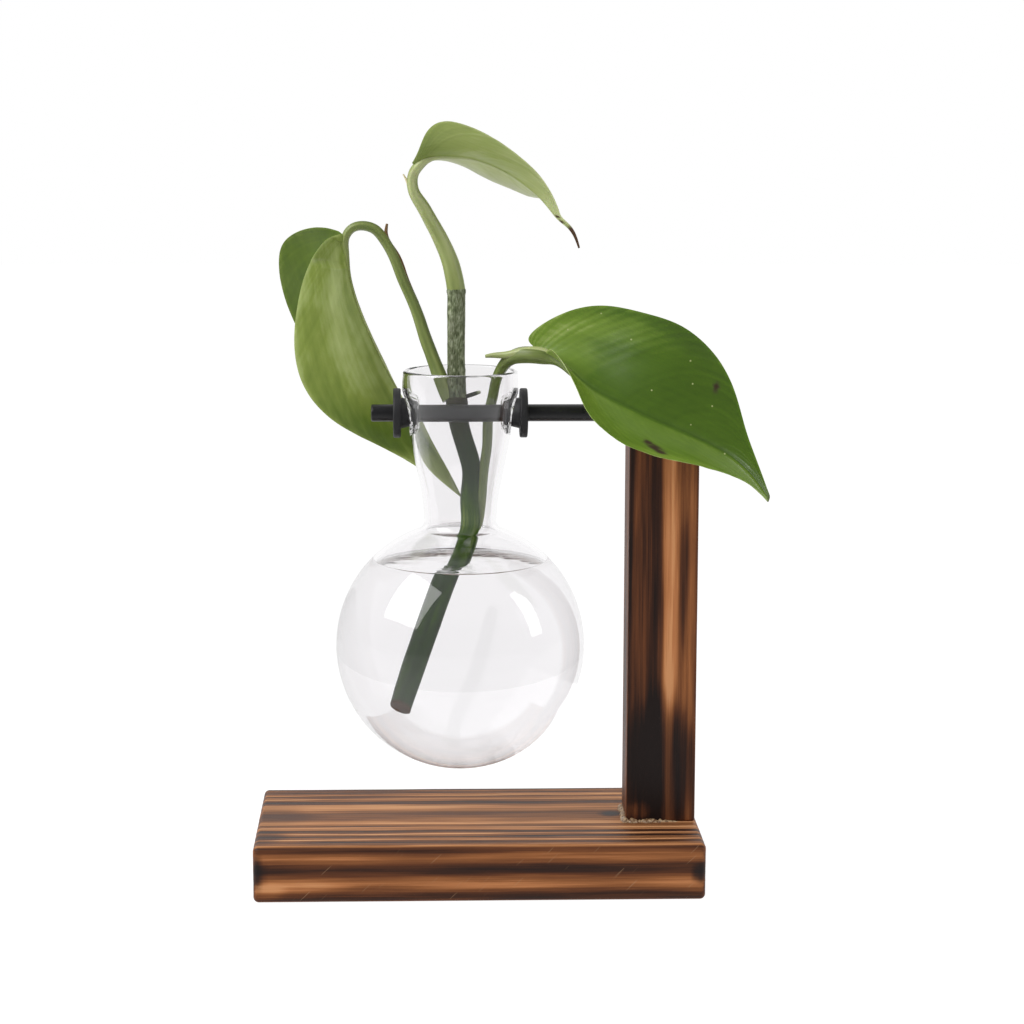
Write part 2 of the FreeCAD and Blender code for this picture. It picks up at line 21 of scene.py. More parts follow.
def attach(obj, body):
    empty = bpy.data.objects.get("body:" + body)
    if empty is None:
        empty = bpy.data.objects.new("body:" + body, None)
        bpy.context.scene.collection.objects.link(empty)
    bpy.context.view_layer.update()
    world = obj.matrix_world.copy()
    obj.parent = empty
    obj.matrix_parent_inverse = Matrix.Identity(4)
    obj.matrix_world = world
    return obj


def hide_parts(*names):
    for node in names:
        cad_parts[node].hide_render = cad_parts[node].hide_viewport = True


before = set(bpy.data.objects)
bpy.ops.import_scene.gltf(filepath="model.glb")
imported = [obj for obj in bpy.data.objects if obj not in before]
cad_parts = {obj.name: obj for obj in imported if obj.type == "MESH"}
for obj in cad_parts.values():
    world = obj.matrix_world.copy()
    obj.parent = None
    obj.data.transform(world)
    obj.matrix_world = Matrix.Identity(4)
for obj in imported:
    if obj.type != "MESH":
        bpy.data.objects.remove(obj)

log = logging.getLogger("propagation_vase")

METRES = 0.001
PHOTO_PIXELS = 1024

# Places and sizes that several pieces share
ROD_Z = 147.96
VASE_X = -5.5
FUNNEL_SLOPE = 0.5366

Material = bpy.types.Material
Socket = bpy.types.NodeSocket


class Body(Enum):
    """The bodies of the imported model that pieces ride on."""

    STAND = "stand"
    RIGHT_RING = "right_ring"
    VASE = "vase"
    LEFT_RING = "left_ring"
    CUTTING = "cutting"


class Face(Enum):
    """The six faces of a wooden block, each with its axis and the side it looks to."""

    LEFT = (0, -1)
    RIGHT = (0, 1)
    FRONT = (1, -1)
    BACK = (1, 1)
    BOTTOM = (2, -1)
    TOP = (2, 1)


# Colour and nodes


def linear(code: str) -> tuple[float, float, float, float]:
    """Turns an sRGB hex value to linear colour with full alpha.

    Args:
        code: Six hex digits after a hash.

    Returns:
        Red, green, blue and alpha, linear.
    """
    channels = [int(code[k : k + 2], 16) / 255 for k in (1, 3, 5)]
    lit = [c / 12.92 if c <= 0.04045 else ((c + 0.055) / 1.055) ** 2.4 for c in channels]
    return (lit[0], lit[1], lit[2], 1.0)


def add_node(
    tree: bpy.types.NodeTree, kind: str, inputs: dict | None = None, out: int | str = 0, **settings: object
) -> Socket | None:
    """Adds one shader node with its values, links and settings.

    Args:
        tree: The node tree.
        kind: The node's type name after ShaderNode.
        inputs: Values, or sockets to link from, by the input's name or number.
        out: The name or number of the output to hand back.
        settings: Properties by name. stops holds a colour ramp's places and hex colours.

    Returns:
        The output socket, or None where the node has none.
    """
    node = tree.nodes.new("ShaderNode" + kind)
    for place, code in settings.pop("stops", ()):
        stops = node.color_ramp.elements
        stop = stops[0] if place == 0 else stops[-1] if place == 1 else stops.new(place)
        stop.color = linear(code)
    for name, value in settings.items():
        setattr(node, name, value)
    for name, value in (inputs or {}).items():
        if isinstance(value, Socket):
            tree.links.new(value, node.inputs[name])
        else:
            node.inputs[name].default_value = value
    return node.outputs[out] if node.outputs else None


def emptied(owner: Material | bpy.types.World | bpy.types.Light) -> partial:
    """Gives a material, world or lamp an empty node tree.

    Args:
        owner: Whose nodes they are.

    Returns:
        add_node for its tree.
    """
    owner.use_nodes = True
    owner.node_tree.nodes.clear()
    return partial(add_node, owner.node_tree)


# Curves and noise


def smooth_through(values: np.ndarray, count: int) -> np.ndarray:
    """Natural cubic spline through rows of values, spaced by their own chord lengths.

    Args:
        values: Points (n, d) to pass through.
        count: How many points to return.

    Returns:
        Points (count, d), evenly spaced along the chords.
    """
    chords = np.linalg.norm(np.diff(values[:, :3], axis=0), axis=1)
    knots = np.concatenate([[0.0], np.cumsum(chords)])
    return spline_at(knots, values, np.linspace(0, knots[-1], count))


def spline_at(knots: np.ndarray, values: np.ndarray, places: np.ndarray) -> np.ndarray:
    """Natural cubic spline read at given places.

    The second derivatives solve the usual tridiagonal system, with none at the ends.

    Args:
        knots: Rising places (n).
        values: Values (n, d) at the knots.
        places: Places (m) to read.

    Returns:
        Values (m, d).
    """
    count = len(knots)
    steps = np.diff(knots)
    system = np.eye(count)
    inner = np.arange(1, count - 1)
    system[inner, inner - 1] = steps[:-1]
    system[inner, inner] = 2 * (steps[:-1] + steps[1:])
    system[inner, inner + 1] = steps[1:]
    right = np.zeros_like(values)
    right[1:-1] = 6 * np.diff(np.diff(values, axis=0) / steps[:, None], axis=0)
    bend = np.linalg.solve(system, right)
    k = np.clip(np.searchsorted(knots, places, side="right") - 1, 0, count - 2)
    h = steps[k][:, None]
    a = (knots[k + 1] - places)[:, None] / h
    b = 1 - a
    curve = ((a**3 - a) * bend[k] + (b**3 - b) * bend[k + 1]) * h**2 / 6
    return a * values[k] + b * values[k + 1] + curve


def read_table(places: np.ndarray, table: tuple) -> np.ndarray:
    """Straight lines through a table's rows of place and value, read at places."""
    return np.interp(places, *zip(*table))


def unit(vectors: np.ndarray) -> np.ndarray:
    """Vectors brought to length 1 along the last axis."""
    return vectors / np.linalg.norm(vectors, axis=-1, keepdims=True)


def square_to(vectors: np.ndarray, way: np.ndarray) -> np.ndarray:
    """What is left of vectors without their part along a way of any length, as unit vectors."""
    part = (vectors * way).sum(-1, keepdims=True) / (way**2).sum(-1, keepdims=True)
    return unit(vectors - way * part)


def ease(x: np.ndarray) -> np.ndarray:
    """Smooth step from 0 to 1 as x goes from 0 to 1."""
    x = np.clip(x, 0, 1)
    return x * x * (3 - 2 * x)


def blot(distance: np.ndarray) -> np.ndarray:
    """A soft spot: 1 at no distance, a half at 0.9, near 0 from 1.4 on."""
    return np.exp(-(distance**4))


def bump(distance: np.ndarray, width: float) -> np.ndarray:
    """A rounded bump: 1 at no distance, falling off over the width."""
    return np.exp(-((distance / width) ** 2))


def full_turn(columns: int) -> np.ndarray:
    """Angles once round, where the last is the first again."""
    return np.append(np.linspace(0, 2 * math.pi, columns + 1)[:-1], 0.0)


class SmoothNoise:
    """Seeded value noise on a repeating lattice, the same on each run."""

    size = 32
    layer_shift = 7.3

    def __init__(self, seed: int) -> None:
        """Fills the lattice from the seed."""
        self.lattice = np.random.default_rng(seed).random((self.size,) * 3) * 2 - 1

    def at(self, points: np.ndarray, spacing: float | tuple, layers: int = 1) -> np.ndarray:
        """Noise from -1 to 1: eased mixing of the eight lattice values round each point.

        Args:
            points: Points (..., 3) in millimetres.
            spacing: Distance between lattice values, for all axes or for each.
            layers: Finer copies to add, each half as large and half as strong.

        Returns:
            One value for each point.
        """
        total = np.zeros(points.shape[:-1])
        for layer in range(layers):
            place = points / np.asarray(spacing, float) * 2**layer + self.layer_shift * layer
            low = np.floor(place).astype(int)
            part = ease(place - low)
            for corner in np.ndindex(2, 2, 2):
                weight = np.prod(np.where(corner, part, 1 - part), axis=-1)
                x, y, z = np.moveaxis((low + np.array(corner)) % self.size, -1, 0)
                total += weight * self.lattice[x, y, z] / 2**layer
        return total


# Surfaces


@dataclass
class Surface:
    """Points and four-cornered faces in millimetres, with a UV and named values at each point."""

    points: np.ndarray
    faces: np.ndarray
    uv: np.ndarray
    values: dict[str, np.ndarray] = field(default_factory=dict)
    weld: float = 0.0004

    @classmethod
    def grid(cls, points: np.ndarray, uv: np.ndarray | None = None, **values: np.ndarray) -> "Surface":
        """A surface from a grid of points: each face joins four neighbours.

        Args:
            points: Points (rows, columns, 3).
            uv: UV (rows, columns, 2), or the grid's own shares.
            values: Values (rows, columns) by name.

        Returns:
            The surface.
        """
        rows, columns = points.shape[:2]
        if uv is None:
            across, along = np.meshgrid(np.linspace(0, 1, columns), np.linspace(0, 1, rows))
            uv = np.stack([across, along], axis=-1)
        number = np.arange(rows * columns).reshape(rows, columns)
        faces = np.stack([number[:-1, :-1], number[:-1, 1:], number[1:, 1:], number[1:, :-1]], -1)
        flat = {name: np.broadcast_to(v, (rows, columns)).ravel() for name, v in values.items()}
        return cls(points.reshape(-1, 3), faces.reshape(-1, 4), uv.reshape(-1, 2), flat)

    @classmethod
    def joined(cls, parts: list["Surface"]) -> "Surface":
        """Joins surfaces. Points that meet are welded when the piece is built.

        Args:
            parts: Surfaces with the same named values.

        Returns:
            One surface.
        """
        starts = np.cumsum([0] + [len(p.points) for p in parts[:-1]])
        return cls(
            np.concatenate([p.points for p in parts]),
            np.concatenate([p.faces + start for p, start in zip(parts, starts)]),
            np.concatenate([p.uv for p in parts]),
            {name: np.concatenate([p.values[name] for p in parts]) for name in parts[0].values},
        )

    def mesh(self, name: str, sharp_over: float) -> bpy.types.Mesh:
        """Welds points that meet and builds the mesh in metres with its normals outwards.

        Args:
            name: The mesh's name.
            sharp_over: Edges that turn by more degrees than this stay sharp.

        Returns:
            The mesh.
        """
        grains = np.round(self.points / self.weld).astype(np.int64)
        _, first, number = np.unique(grains, axis=0, return_index=True, return_inverse=True)
        corners = number.reshape(-1)[self.faces]
        kept = corners != np.roll(corners, 1, axis=1)
        kept &= (kept.sum(1) > 2)[:, None]
        kept &= ((corners[:, 0] != corners[:, 2]) & (corners[:, 1] != corners[:, 3]))[:, None]
        sides = kept.sum(1)
        sides = sides[sides > 0]
        mesh = bpy.data.meshes.new(name)
        mesh.vertices.add(len(first))
        mesh.vertices.foreach_set("co", (self.points[first] * METRES).astype(np.float32).ravel())
        mesh.loops.add(int(kept.sum()))
        mesh.loops.foreach_set("vertex_index", corners[kept].astype(np.int32))
        mesh.polygons.add(len(sides))
        starts = np.concatenate([[0], np.cumsum(sides)[:-1]]).astype(np.int32)
        mesh.polygons.foreach_set("loop_start", starts)
        mesh.update(calc_edges=True)
        layer = mesh.uv_layers.new(name="UVMap")
        layer.data.foreach_set("uv", self.uv[self.faces[kept]].astype(np.float32).ravel())
        for key, value in self.values.items():
            attribute = mesh.attributes.new(key, "FLOAT", "POINT")
            attribute.data.foreach_set("value", value[first].astype(np.float32))
        mesh.validate()
        shell = bmesh.new()
        shell.from_mesh(mesh)
        bmesh.ops.recalc_face_normals(shell, faces=shell.faces)
        open_edges = sum(1 for edge in shell.edges if not edge.is_manifold)
        shell.to_mesh(mesh)
        shell.free()
        mesh.polygons.foreach_set("use_smooth", np.ones(len(mesh.polygons), bool))
        mesh.set_sharp_from_angle(angle=math.radians(sharp_over))
        log.info("%s: %d faces, %d open edges", name, len(mesh.polygons), open_edges)
        return mesh

    def piece(
        self, name: str, body: Body, slot: str, material: Material, nodes: tuple[str, ...] = (),
        sharp_over: float = 50.0,
    ) -> None:
        """Makes the object, dresses it and hands it to its body.

        Args:
            name: The piece's name.
            body: The body that it rides on.
            slot: A material slot name; not used.
            material: Its finish.
            nodes: The CAD nodes that it stands for, if any.
            sharp_over: Edges that turn by more degrees than this stay sharp.
        """
        made = bpy.data.objects.new(name, self.mesh(name, sharp_over))
        bpy.context.scene.collection.objects.link(made)
        made.data.materials.append(material)
        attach(made, body.value)
        if nodes:
            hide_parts(*nodes)


def spun(outline: np.ndarray, turns: np.ndarray) -> np.ndarray:
    """An outline turned about Z: its radius times the cosine and sine of each turn.

    Args:
        outline: Radius and height (n, 2).
        turns: Angles (m) that end where they began.

    Returns:
        Points (n, m, 3).
    """
    radius, height = outline[:, :1], outline[:, 1:]
    rows = [radius * np.cos(turns), radius * np.sin(turns), height + 0 * turns]
    points = np.stack(rows, axis=-1)
    points[:, -1] = points[:, 0]
    return points


def bar_along_x(outline: np.ndarray, x: float, columns: int) -> Surface:
    """A closed outline turned about the rod's axis.

    Args:
        outline: Radius and place along X (n, 2).
        x: Where the places along X start.
        columns: Steps round.

    Returns:
        The surface.
    """
    points = spun(outline, full_turn(columns))[..., [2, 0, 1]]
    return Surface.grid(points + np.array([x, 0, ROD_Z]))


def rounded(radius: float, place: float, size: float, way: int) -> np.ndarray:
    """Quarter round at the outer corner of an outline that is turned.

    Args:
        radius: The outline's radius at the corner.
        place: The corner's place along the axis.
        size: The round's own radius.
        way: -1 where a near face turns into the side, 1 where the side turns into a far face.

    Returns:
        Radius and place along the axis (6, 2).
    """
    turn = np.linspace(0, math.pi / 2, 6)
    sine, cosine = size * np.sin(turn), size * np.cos(turn)
    if way < 0:
        return np.stack([radius - size + sine, place + size - cosine], axis=-1)
    return np.stack([radius - size + cosine, place - size + sine], axis=-1)


def tube(route: np.ndarray, columns: int, relief: np.ndarray, **values: np.ndarray) -> Surface:
    """A tube along a route, closed at both ends.

    Each ring is the radius times a circle square to the route. The circle's first direction is
    carried from ring to ring with the least turning.

    Args:
        route: Centre and radius (n, 4).
        columns: Steps round.
        relief: Height (n, columns + 1) added to the radius.
        values: Values (n, columns + 1) by name.

    Returns:
        The surface, with UV in millimetres round and along.
    """
    centre, radius = route[:, :3], route[:, 3:]
    tangent = unit(np.gradient(centre, axis=0))
    side = np.empty_like(centre)
    start = np.array([0.0, 1.0, 0.0])
    for k, along in enumerate(tangent):
        side[k] = start = square_to(start, along)
    turn = full_turn(columns)[:, None]
    ring = side[:, None] * np.cos(turn) + np.cross(tangent, side)[:, None] * np.sin(turn)
    points = centre[:, None] + ring * (radius + relief)[..., None]
    points = np.concatenate([points[:1] * 0 + centre[0], points, points[:1] * 0 + centre[-1]])
    steps = np.linalg.norm(np.diff(centre, axis=0), axis=1)
    along = np.concatenate([[0, 0], np.cumsum(steps), [steps.sum()]])
    round_way = np.linspace(0, 2 * math.pi * radius.mean(), columns + 1)
    uv = np.stack(np.broadcast_arrays(round_way, along[:, None]), axis=-1)
    capped = {name: np.pad(value, ((1, 1), (0, 0)), mode="edge") for name, value in values.items()}
    return Surface.grid(points, uv, **capped)


# Finishes


@dataclass(frozen=True)
class CharredWood:
    """Torched and oiled softwood: scorched dark grain between tan ridges, with a low sheen."""

    name: str
    grain_axis: int
    fibre_width: float = 0.32
    fibre_length: float = 26.0
    fibre_tone: float = 0.4
    fibre_depth: float = 0.15
    scratch_turn: tuple = (0.0, -0.75, 0.0)
    scratch_size: tuple = (11.0, 20.0, 0.4)
    scratch_depth: float = 0.4
    stops: tuple = (
        (0.0, "#1d1413"), (0.22, "#3a2419"), (0.45, "#67432a"), (0.68, "#966a44"),
        (0.86, "#bf8e64"), (1.0, "#d3a97f"),
    )

    def material(self) -> Material:
        """Grain comes from the tone value, fine fibres from stretched noise, soot from its own.

        Scratches are rare tilted streaks of noise, only where the warm value marks a front face.

        Returns:
            The material.
        """
        material = bpy.data.materials.new(self.name)
        add = emptied(material)
        scale = [1 / (self.fibre_width * METRES)] * 3
        scale[self.grain_axis] = 1 / (self.fibre_length * METRES)
        place = add("TexCoord", out="Object")
        stretched = add("Mapping", {"Vector": place, "Scale": scale})
        fine = {"Vector": stretched, "Scale": 1.0, "Detail": 3.0, "Roughness": 0.6}
        fibre = add("TexNoise", fine)
        values = ("tone", "soot", "warm")
        tone, soot, warm = (add("Attribute", out="Fac", attribute_name=name) for name in values)
        shift = {0: fibre, 1: self.fibre_tone, 2: -self.fibre_tone / 2}
        mixed = add("Math", {0: tone, 1: add("Math", shift, operation="MULTIPLY_ADD")})
        colour = add("ValToRGB", {"Fac": mixed}, stops=self.stops)
        tinted = {0: warm, 6: colour, 7: linear("#f4b97c")}
        glow = add("Mix", tinted, 2, data_type="RGBA", blend_type="MULTIPLY")
        sooty = add("Mix", {0: soot, 6: glow, 7: linear("#191313")}, 2, data_type="RGBA")
        size = [length * METRES for length in self.scratch_size]
        turned = {"Vector": place, "Rotation": self.scratch_turn, "Scale": size}
        tilted = add("Mapping", turned, vector_type="TEXTURE")
        scratch = add("TexNoise", {"Vector": tilted, "Scale": 1.0, "Detail": 1.0})
        rare = {"Value": scratch, "From Min": 0.73, "From Max": 0.78, "To Max": self.scratch_depth}
        facing = add("MapRange", {"Value": warm, "From Min": 0.3, "From Max": 0.5})
        shown = add("Math", {0: add("MapRange", rare), 1: facing}, operation="MULTIPLY")
        worn = add("Mix", {0: shown, 6: sooty, 7: linear("#b58f6c")}, 2, data_type="RGBA")
        raised = {"Height": fibre, "Strength": 0.6, "Distance": self.fibre_depth * METRES}
        shader = add("BsdfPrincipled", {
            "Base Color": worn,
            "Roughness": add("MapRange", {"Value": mixed, "To Min": 0.45, "To Max": 0.62}),
            "Normal": add("Bump", raised),
            "IOR": 1.5,
            "Specular IOR Level": 0.22,
        })
        add("OutputMaterial", {"Surface": shader})
        return material


@dataclass(frozen=True)
class Clear:
    """A clear body that light passes, sharp and slightly tinted at its thick places."""

    name: str
    tint: str
    ior: float
    deepest: float = 5.5

    def material(self) -> Material:
        """Refraction for the eye, and free passage for shadow rays and for much bent paths.

        So shadows stay pale, and light trapped between the walls doesn't end in black.

        Returns:
            The material.
        """
        material = bpy.data.materials.new(self.name)
        add = emptied(material)
        tint = linear(self.tint)
        shader = add("BsdfPrincipled", {
            "Base Color": tint, "Roughness": 0.0, "IOR": self.ior, "Transmission Weight": 1.0,
        })
        passing = add("BsdfTransparent", {"Color": linear("#f4f4f4")})
        depth = add("LightPath", out="Ray Depth")
        shadow = add("LightPath", out="Is Shadow Ray")
        deep = add("Math", {0: depth, 1: self.deepest}, operation="GREATER_THAN")
        free = add("Math", {0: deep, 1: shadow}, operation="MAXIMUM")
        mix = add("MixShader", {0: free, 1: shader, 2: passing})
        add("OutputMaterial", {"Surface": mix})
        return material


@dataclass(frozen=True)
class Coated:
    """An even coat or moulded body: one colour, with fine unevenness in its gloss."""

    name: str
    colour: str
    second: str
    rough: tuple[float, float]
    speck: float
    bump: float = 0.0
    metallic: float = 0.0
    shine: float = 0.5

    def material(self) -> Material:
        """Noise of the speck's size moves between the two colours and the two roughnesses.

        Returns:
            The material.
        """
        material = bpy.data.materials.new(self.name)
        add = emptied(material)
        place = add("TexCoord", out="Object")
        scale = 1 / (self.speck * METRES)
        speck = add("TexNoise", {"Vector": place, "Scale": scale, "Detail": 3.0})
        spread = add("MapRange", {"Value": speck, "From Min": 0.35, "From Max": 0.65})
        colours = {0: spread, 6: linear(self.colour), 7: linear(self.second)}
        gloss = {"Value": spread, "To Min": self.rough[0], "To Max": self.rough[1]}
        raised = {"Height": speck, "Strength": 0.6, "Distance": self.bump * METRES}
        shader = add("BsdfPrincipled", {
            "Base Color": add("Mix", colours, 2, data_type="RGBA"),
            "Roughness": add("MapRange", gloss),
            "Metallic": self.metallic,
            "Specular IOR Level": self.shine,
            "Normal": add("Bump", raised),
        })
        add("OutputMaterial", {"Surface": shader})
        return material


@dataclass(frozen=True)
class PlantSkin:
    """Living or dried plant skin: a waxy sheen over a soft, slightly see-through green.

    The shade value runs from dark to pale along the stops, and the dry value turns to brown.
    """

    name: str
    stops: tuple
    dry: str = "#4a3320"
    rough: float = 0.42
    glow: float = 0.12
    streak_width: float = 0.7
    streak_length: float = 9.0
    streak_depth: float = 0.16
    streak_height: float = 0.06
    speck_gap: float = 0.0
    speck: str = "#c9cd92"
    shine: float = 0.5

    def material(self) -> Material:
        """Streaks follow the UV, whose U is across and V along, in millimetres.

        Specks are small balls at the points of a Voronoi pattern, where the skin cuts them.

        Returns:
            The material.
        """
        material = bpy.data.materials.new(self.name)
        add = emptied(material)
        place = add("UVMap", uv_map="UVMap")
        scale = (1 / self.streak_width, 1 / self.streak_length, 1.0)
        stretched = add("Mapping", {"Vector": place, "Scale": scale})
        fine = {"Vector": stretched, "Scale": 1.0, "Detail": 2.5, "Roughness": 0.55}
        streak = add("TexNoise", fine)
        shade, dry = (add("Attribute", out="Fac", attribute_name=name) for name in ("shade", "dry"))
        shift = {0: streak, 1: self.streak_depth, 2: -self.streak_depth / 2}
        mixed = add("Math", {0: shade, 1: add("Math", shift, operation="MULTIPLY_ADD")})
        colour = add("ValToRGB", {"Fac": mixed}, stops=self.stops)
        if self.speck_gap:
            inside = add("TexCoord", out="Object")
            scale = 1 / (self.speck_gap * METRES)
            cells = add("TexVoronoi", {"Vector": inside, "Scale": scale})
            ball = {"Value": cells, "From Min": 0.03, "From Max": 0.07, "To Min": 0.65, "To Max": 0.0}
            speckled = {0: add("MapRange", ball), 6: colour, 7: linear(self.speck)}
            colour = add("Mix", speckled, 2, data_type="RGBA")
        aged = add("Mix", {0: dry, 6: colour, 7: linear(self.dry)}, 2, data_type="RGBA")
        raised = {"Height": streak, "Strength": 0.35, "Distance": self.streak_height * METRES}
        gloss = {"Value": dry, "To Min": self.rough, "To Max": 0.8}
        shader = add("BsdfPrincipled", {
            "Base Color": aged,
            "Roughness": add("MapRange", gloss),
            "IOR": 1.42,
            "Specular IOR Level": self.shine,
            "Normal": add("Bump", raised),
            "Subsurface Weight": self.glow,
            "Subsurface Radius": (0.6, 1.0, 0.2),
            "Subsurface Scale": 0.0006,
        })
        add("OutputMaterial", {"Surface": shader})
        return material


# Stand


@dataclass
class WoodBlock:
    """A rounded block of charred softwood with its grain along one axis.

    profiles gives, for each face, the grain's tone from 0, scorched, to 1, tan, at places across
    it. blots are soft patches: face, centre across, centre along, half sizes, tone and soot.
    Lines are fine waves across each face: their gap, and their depth at places across it.
    """

    name: str
    node: str
    slot: str
    low: tuple[float, float, float]
    high: tuple[float, float, float]
    radius: float
    grain_axis: int
    profiles: dict[Face, tuple]
    blots: tuple
    warm: dict[Face, float]
    lines: dict[Face, tuple]
    seed: int
    spacing: float = 0.3
    spacing_along: float = 1.0
    relief: float = 0.1
    wobble: float = 0.45
    mottle: float = 0.1
    line_tone: float = 0.13
    drift_cell: tuple[float, float] = (4.0, 55.0)
    patch_cell: tuple[float, float] = (8.8, 30.8)
    line_cell: tuple[float, float] = (1.1, 30.0)
    line_drift: float = 1.6
    line_bend: float = 2.2
    arch: float = 0.005
    arch_below: float = 20.0
    ragged: float = 0.22
    sootiest: float = 0.95

    def stations(self, axis: int) -> np.ndarray:
        """Places of the grid lines along an axis, closer within the rounded edges.

        Args:
            axis: The axis's number.

        Returns:
            Rising places.
        """
        low, high = self.low[axis], self.high[axis]
        step = self.spacing_along if axis == self.grain_axis else self.spacing
        ends = np.linspace(0, self.radius, 6)
        middle = np.linspace(low + self.radius, high - self.radius, int((high - low) / step))
        return np.unique(np.concatenate([low + ends, middle, high - ends]).round(4))

    def side(self, face: Face) -> Surface:
        """One face's grid, rounded, with its grain as values and relief.

        A point moves to the nearest point of the inner box, then out by the radius.

        Args:
            face: Which face.

        Returns:
            The surface.
        """
        axis, way = face.value
        first, second = [k for k in range(3) if k != axis]
        u, v = np.meshgrid(self.stations(first), self.stations(second), indexing="ij")
        p = np.empty(u.shape + (3,))
        p[..., first], p[..., second] = u, v
        p[..., axis] = self.high[axis] if way > 0 else self.low[axis]
        inner = np.clip(p, np.array(self.low) + self.radius, np.array(self.high) - self.radius)
        out = unit(p - inner)
        tone, soot = self.grain(inner + out * self.radius, out)
        warm = sum(self.warm[f] * self.facing(out, f) for f in Face)
        height = self.relief * (np.clip(tone, 0, 1) - 1) * (1 - soot / 2)
        points = inner + out * (self.radius + height)[..., None]
        return Surface.grid(points, None, tone=tone, soot=soot, warm=warm)

    def facing(self, out: np.ndarray, face: Face) -> np.ndarray:
        """How much points belong to a face: their direction's fourth power on the face's side.

        Args:
            out: Directions (..., 3).
            face: Which face.

        Returns:
            Shares that sum to 1 over the six faces.
        """
        axis, way = face.value
        return np.clip(out * way, 0, None)[..., axis] ** 4 / (np.abs(out) ** 4).sum(-1)

    def grain(self, p: np.ndarray, out: np.ndarray) -> tuple[np.ndarray, np.ndarray]:
        """Tone and soot from each face's profile, its lines and the blots.

        Args:
            p: Points (..., 3).
            out: Their directions from the block.

        Returns:
            Tone and soot, one of each for each point.
        """
        noise = SmoothNoise(self.seed)
        drift, patchy, lines = (
            noise.at(p + shift, tuple(cell[k == self.grain_axis] for k in range(3)), layers)
            for shift, cell, layers in (
                (0, self.drift_cell, 2), (90, self.patch_cell, 3), (40, self.line_cell, 2)
            )
        )
        drift = self.wobble * drift
        tone, soot = np.zeros(p.shape[:-1]), np.zeros(p.shape[:-1])
        for face in Face:
            axis = face.value[0]
            across_axis, along_axis = [k for k in range(3) if k != axis]
            if across_axis == self.grain_axis:
                across_axis, along_axis = along_axis, across_axis
            across, along = p[..., across_axis], p[..., along_axis]
            arch = 0.0
            if axis == self.grain_axis:
                # End grain: rings that arch over the block
                arch = self.arch * (along - self.low[along_axis] + self.arch_below) ** 2
            gap, depths = self.lines[face]
            crest = 2 * math.pi * (across + self.line_drift * drift) / gap
            waves = np.cos(crest + self.line_bend * lines)
            here = read_table(across + drift + arch, self.profiles[face])
            here = here + self.mottle * patchy + self.line_tone * lines
            here = here + read_table(across, depths) * waves
            black = np.zeros_like(here)
            for on, c_across, c_along, h_across, h_along, tone_by, soot_by in self.blots:
                if on is face:
                    away = np.hypot((across + drift - c_across) / h_across, (along - c_along) / h_along)
                    spot = blot(away * (1 + self.ragged * patchy))
                    here = here + tone_by * spot
                    black = black + soot_by * spot
            share = self.facing(out, face)
            tone += share * here
            soot += share * black
        return tone, np.clip(soot, 0, self.sootiest)

    def build(self, finish: CharredWood) -> None:
        """Joins the six sides into the finished block."""
        whole = Surface.joined([self.side(face) for face in Face])
        whole.piece(self.name, Body.STAND, self.slot, finish.material(), (self.node,), 60)


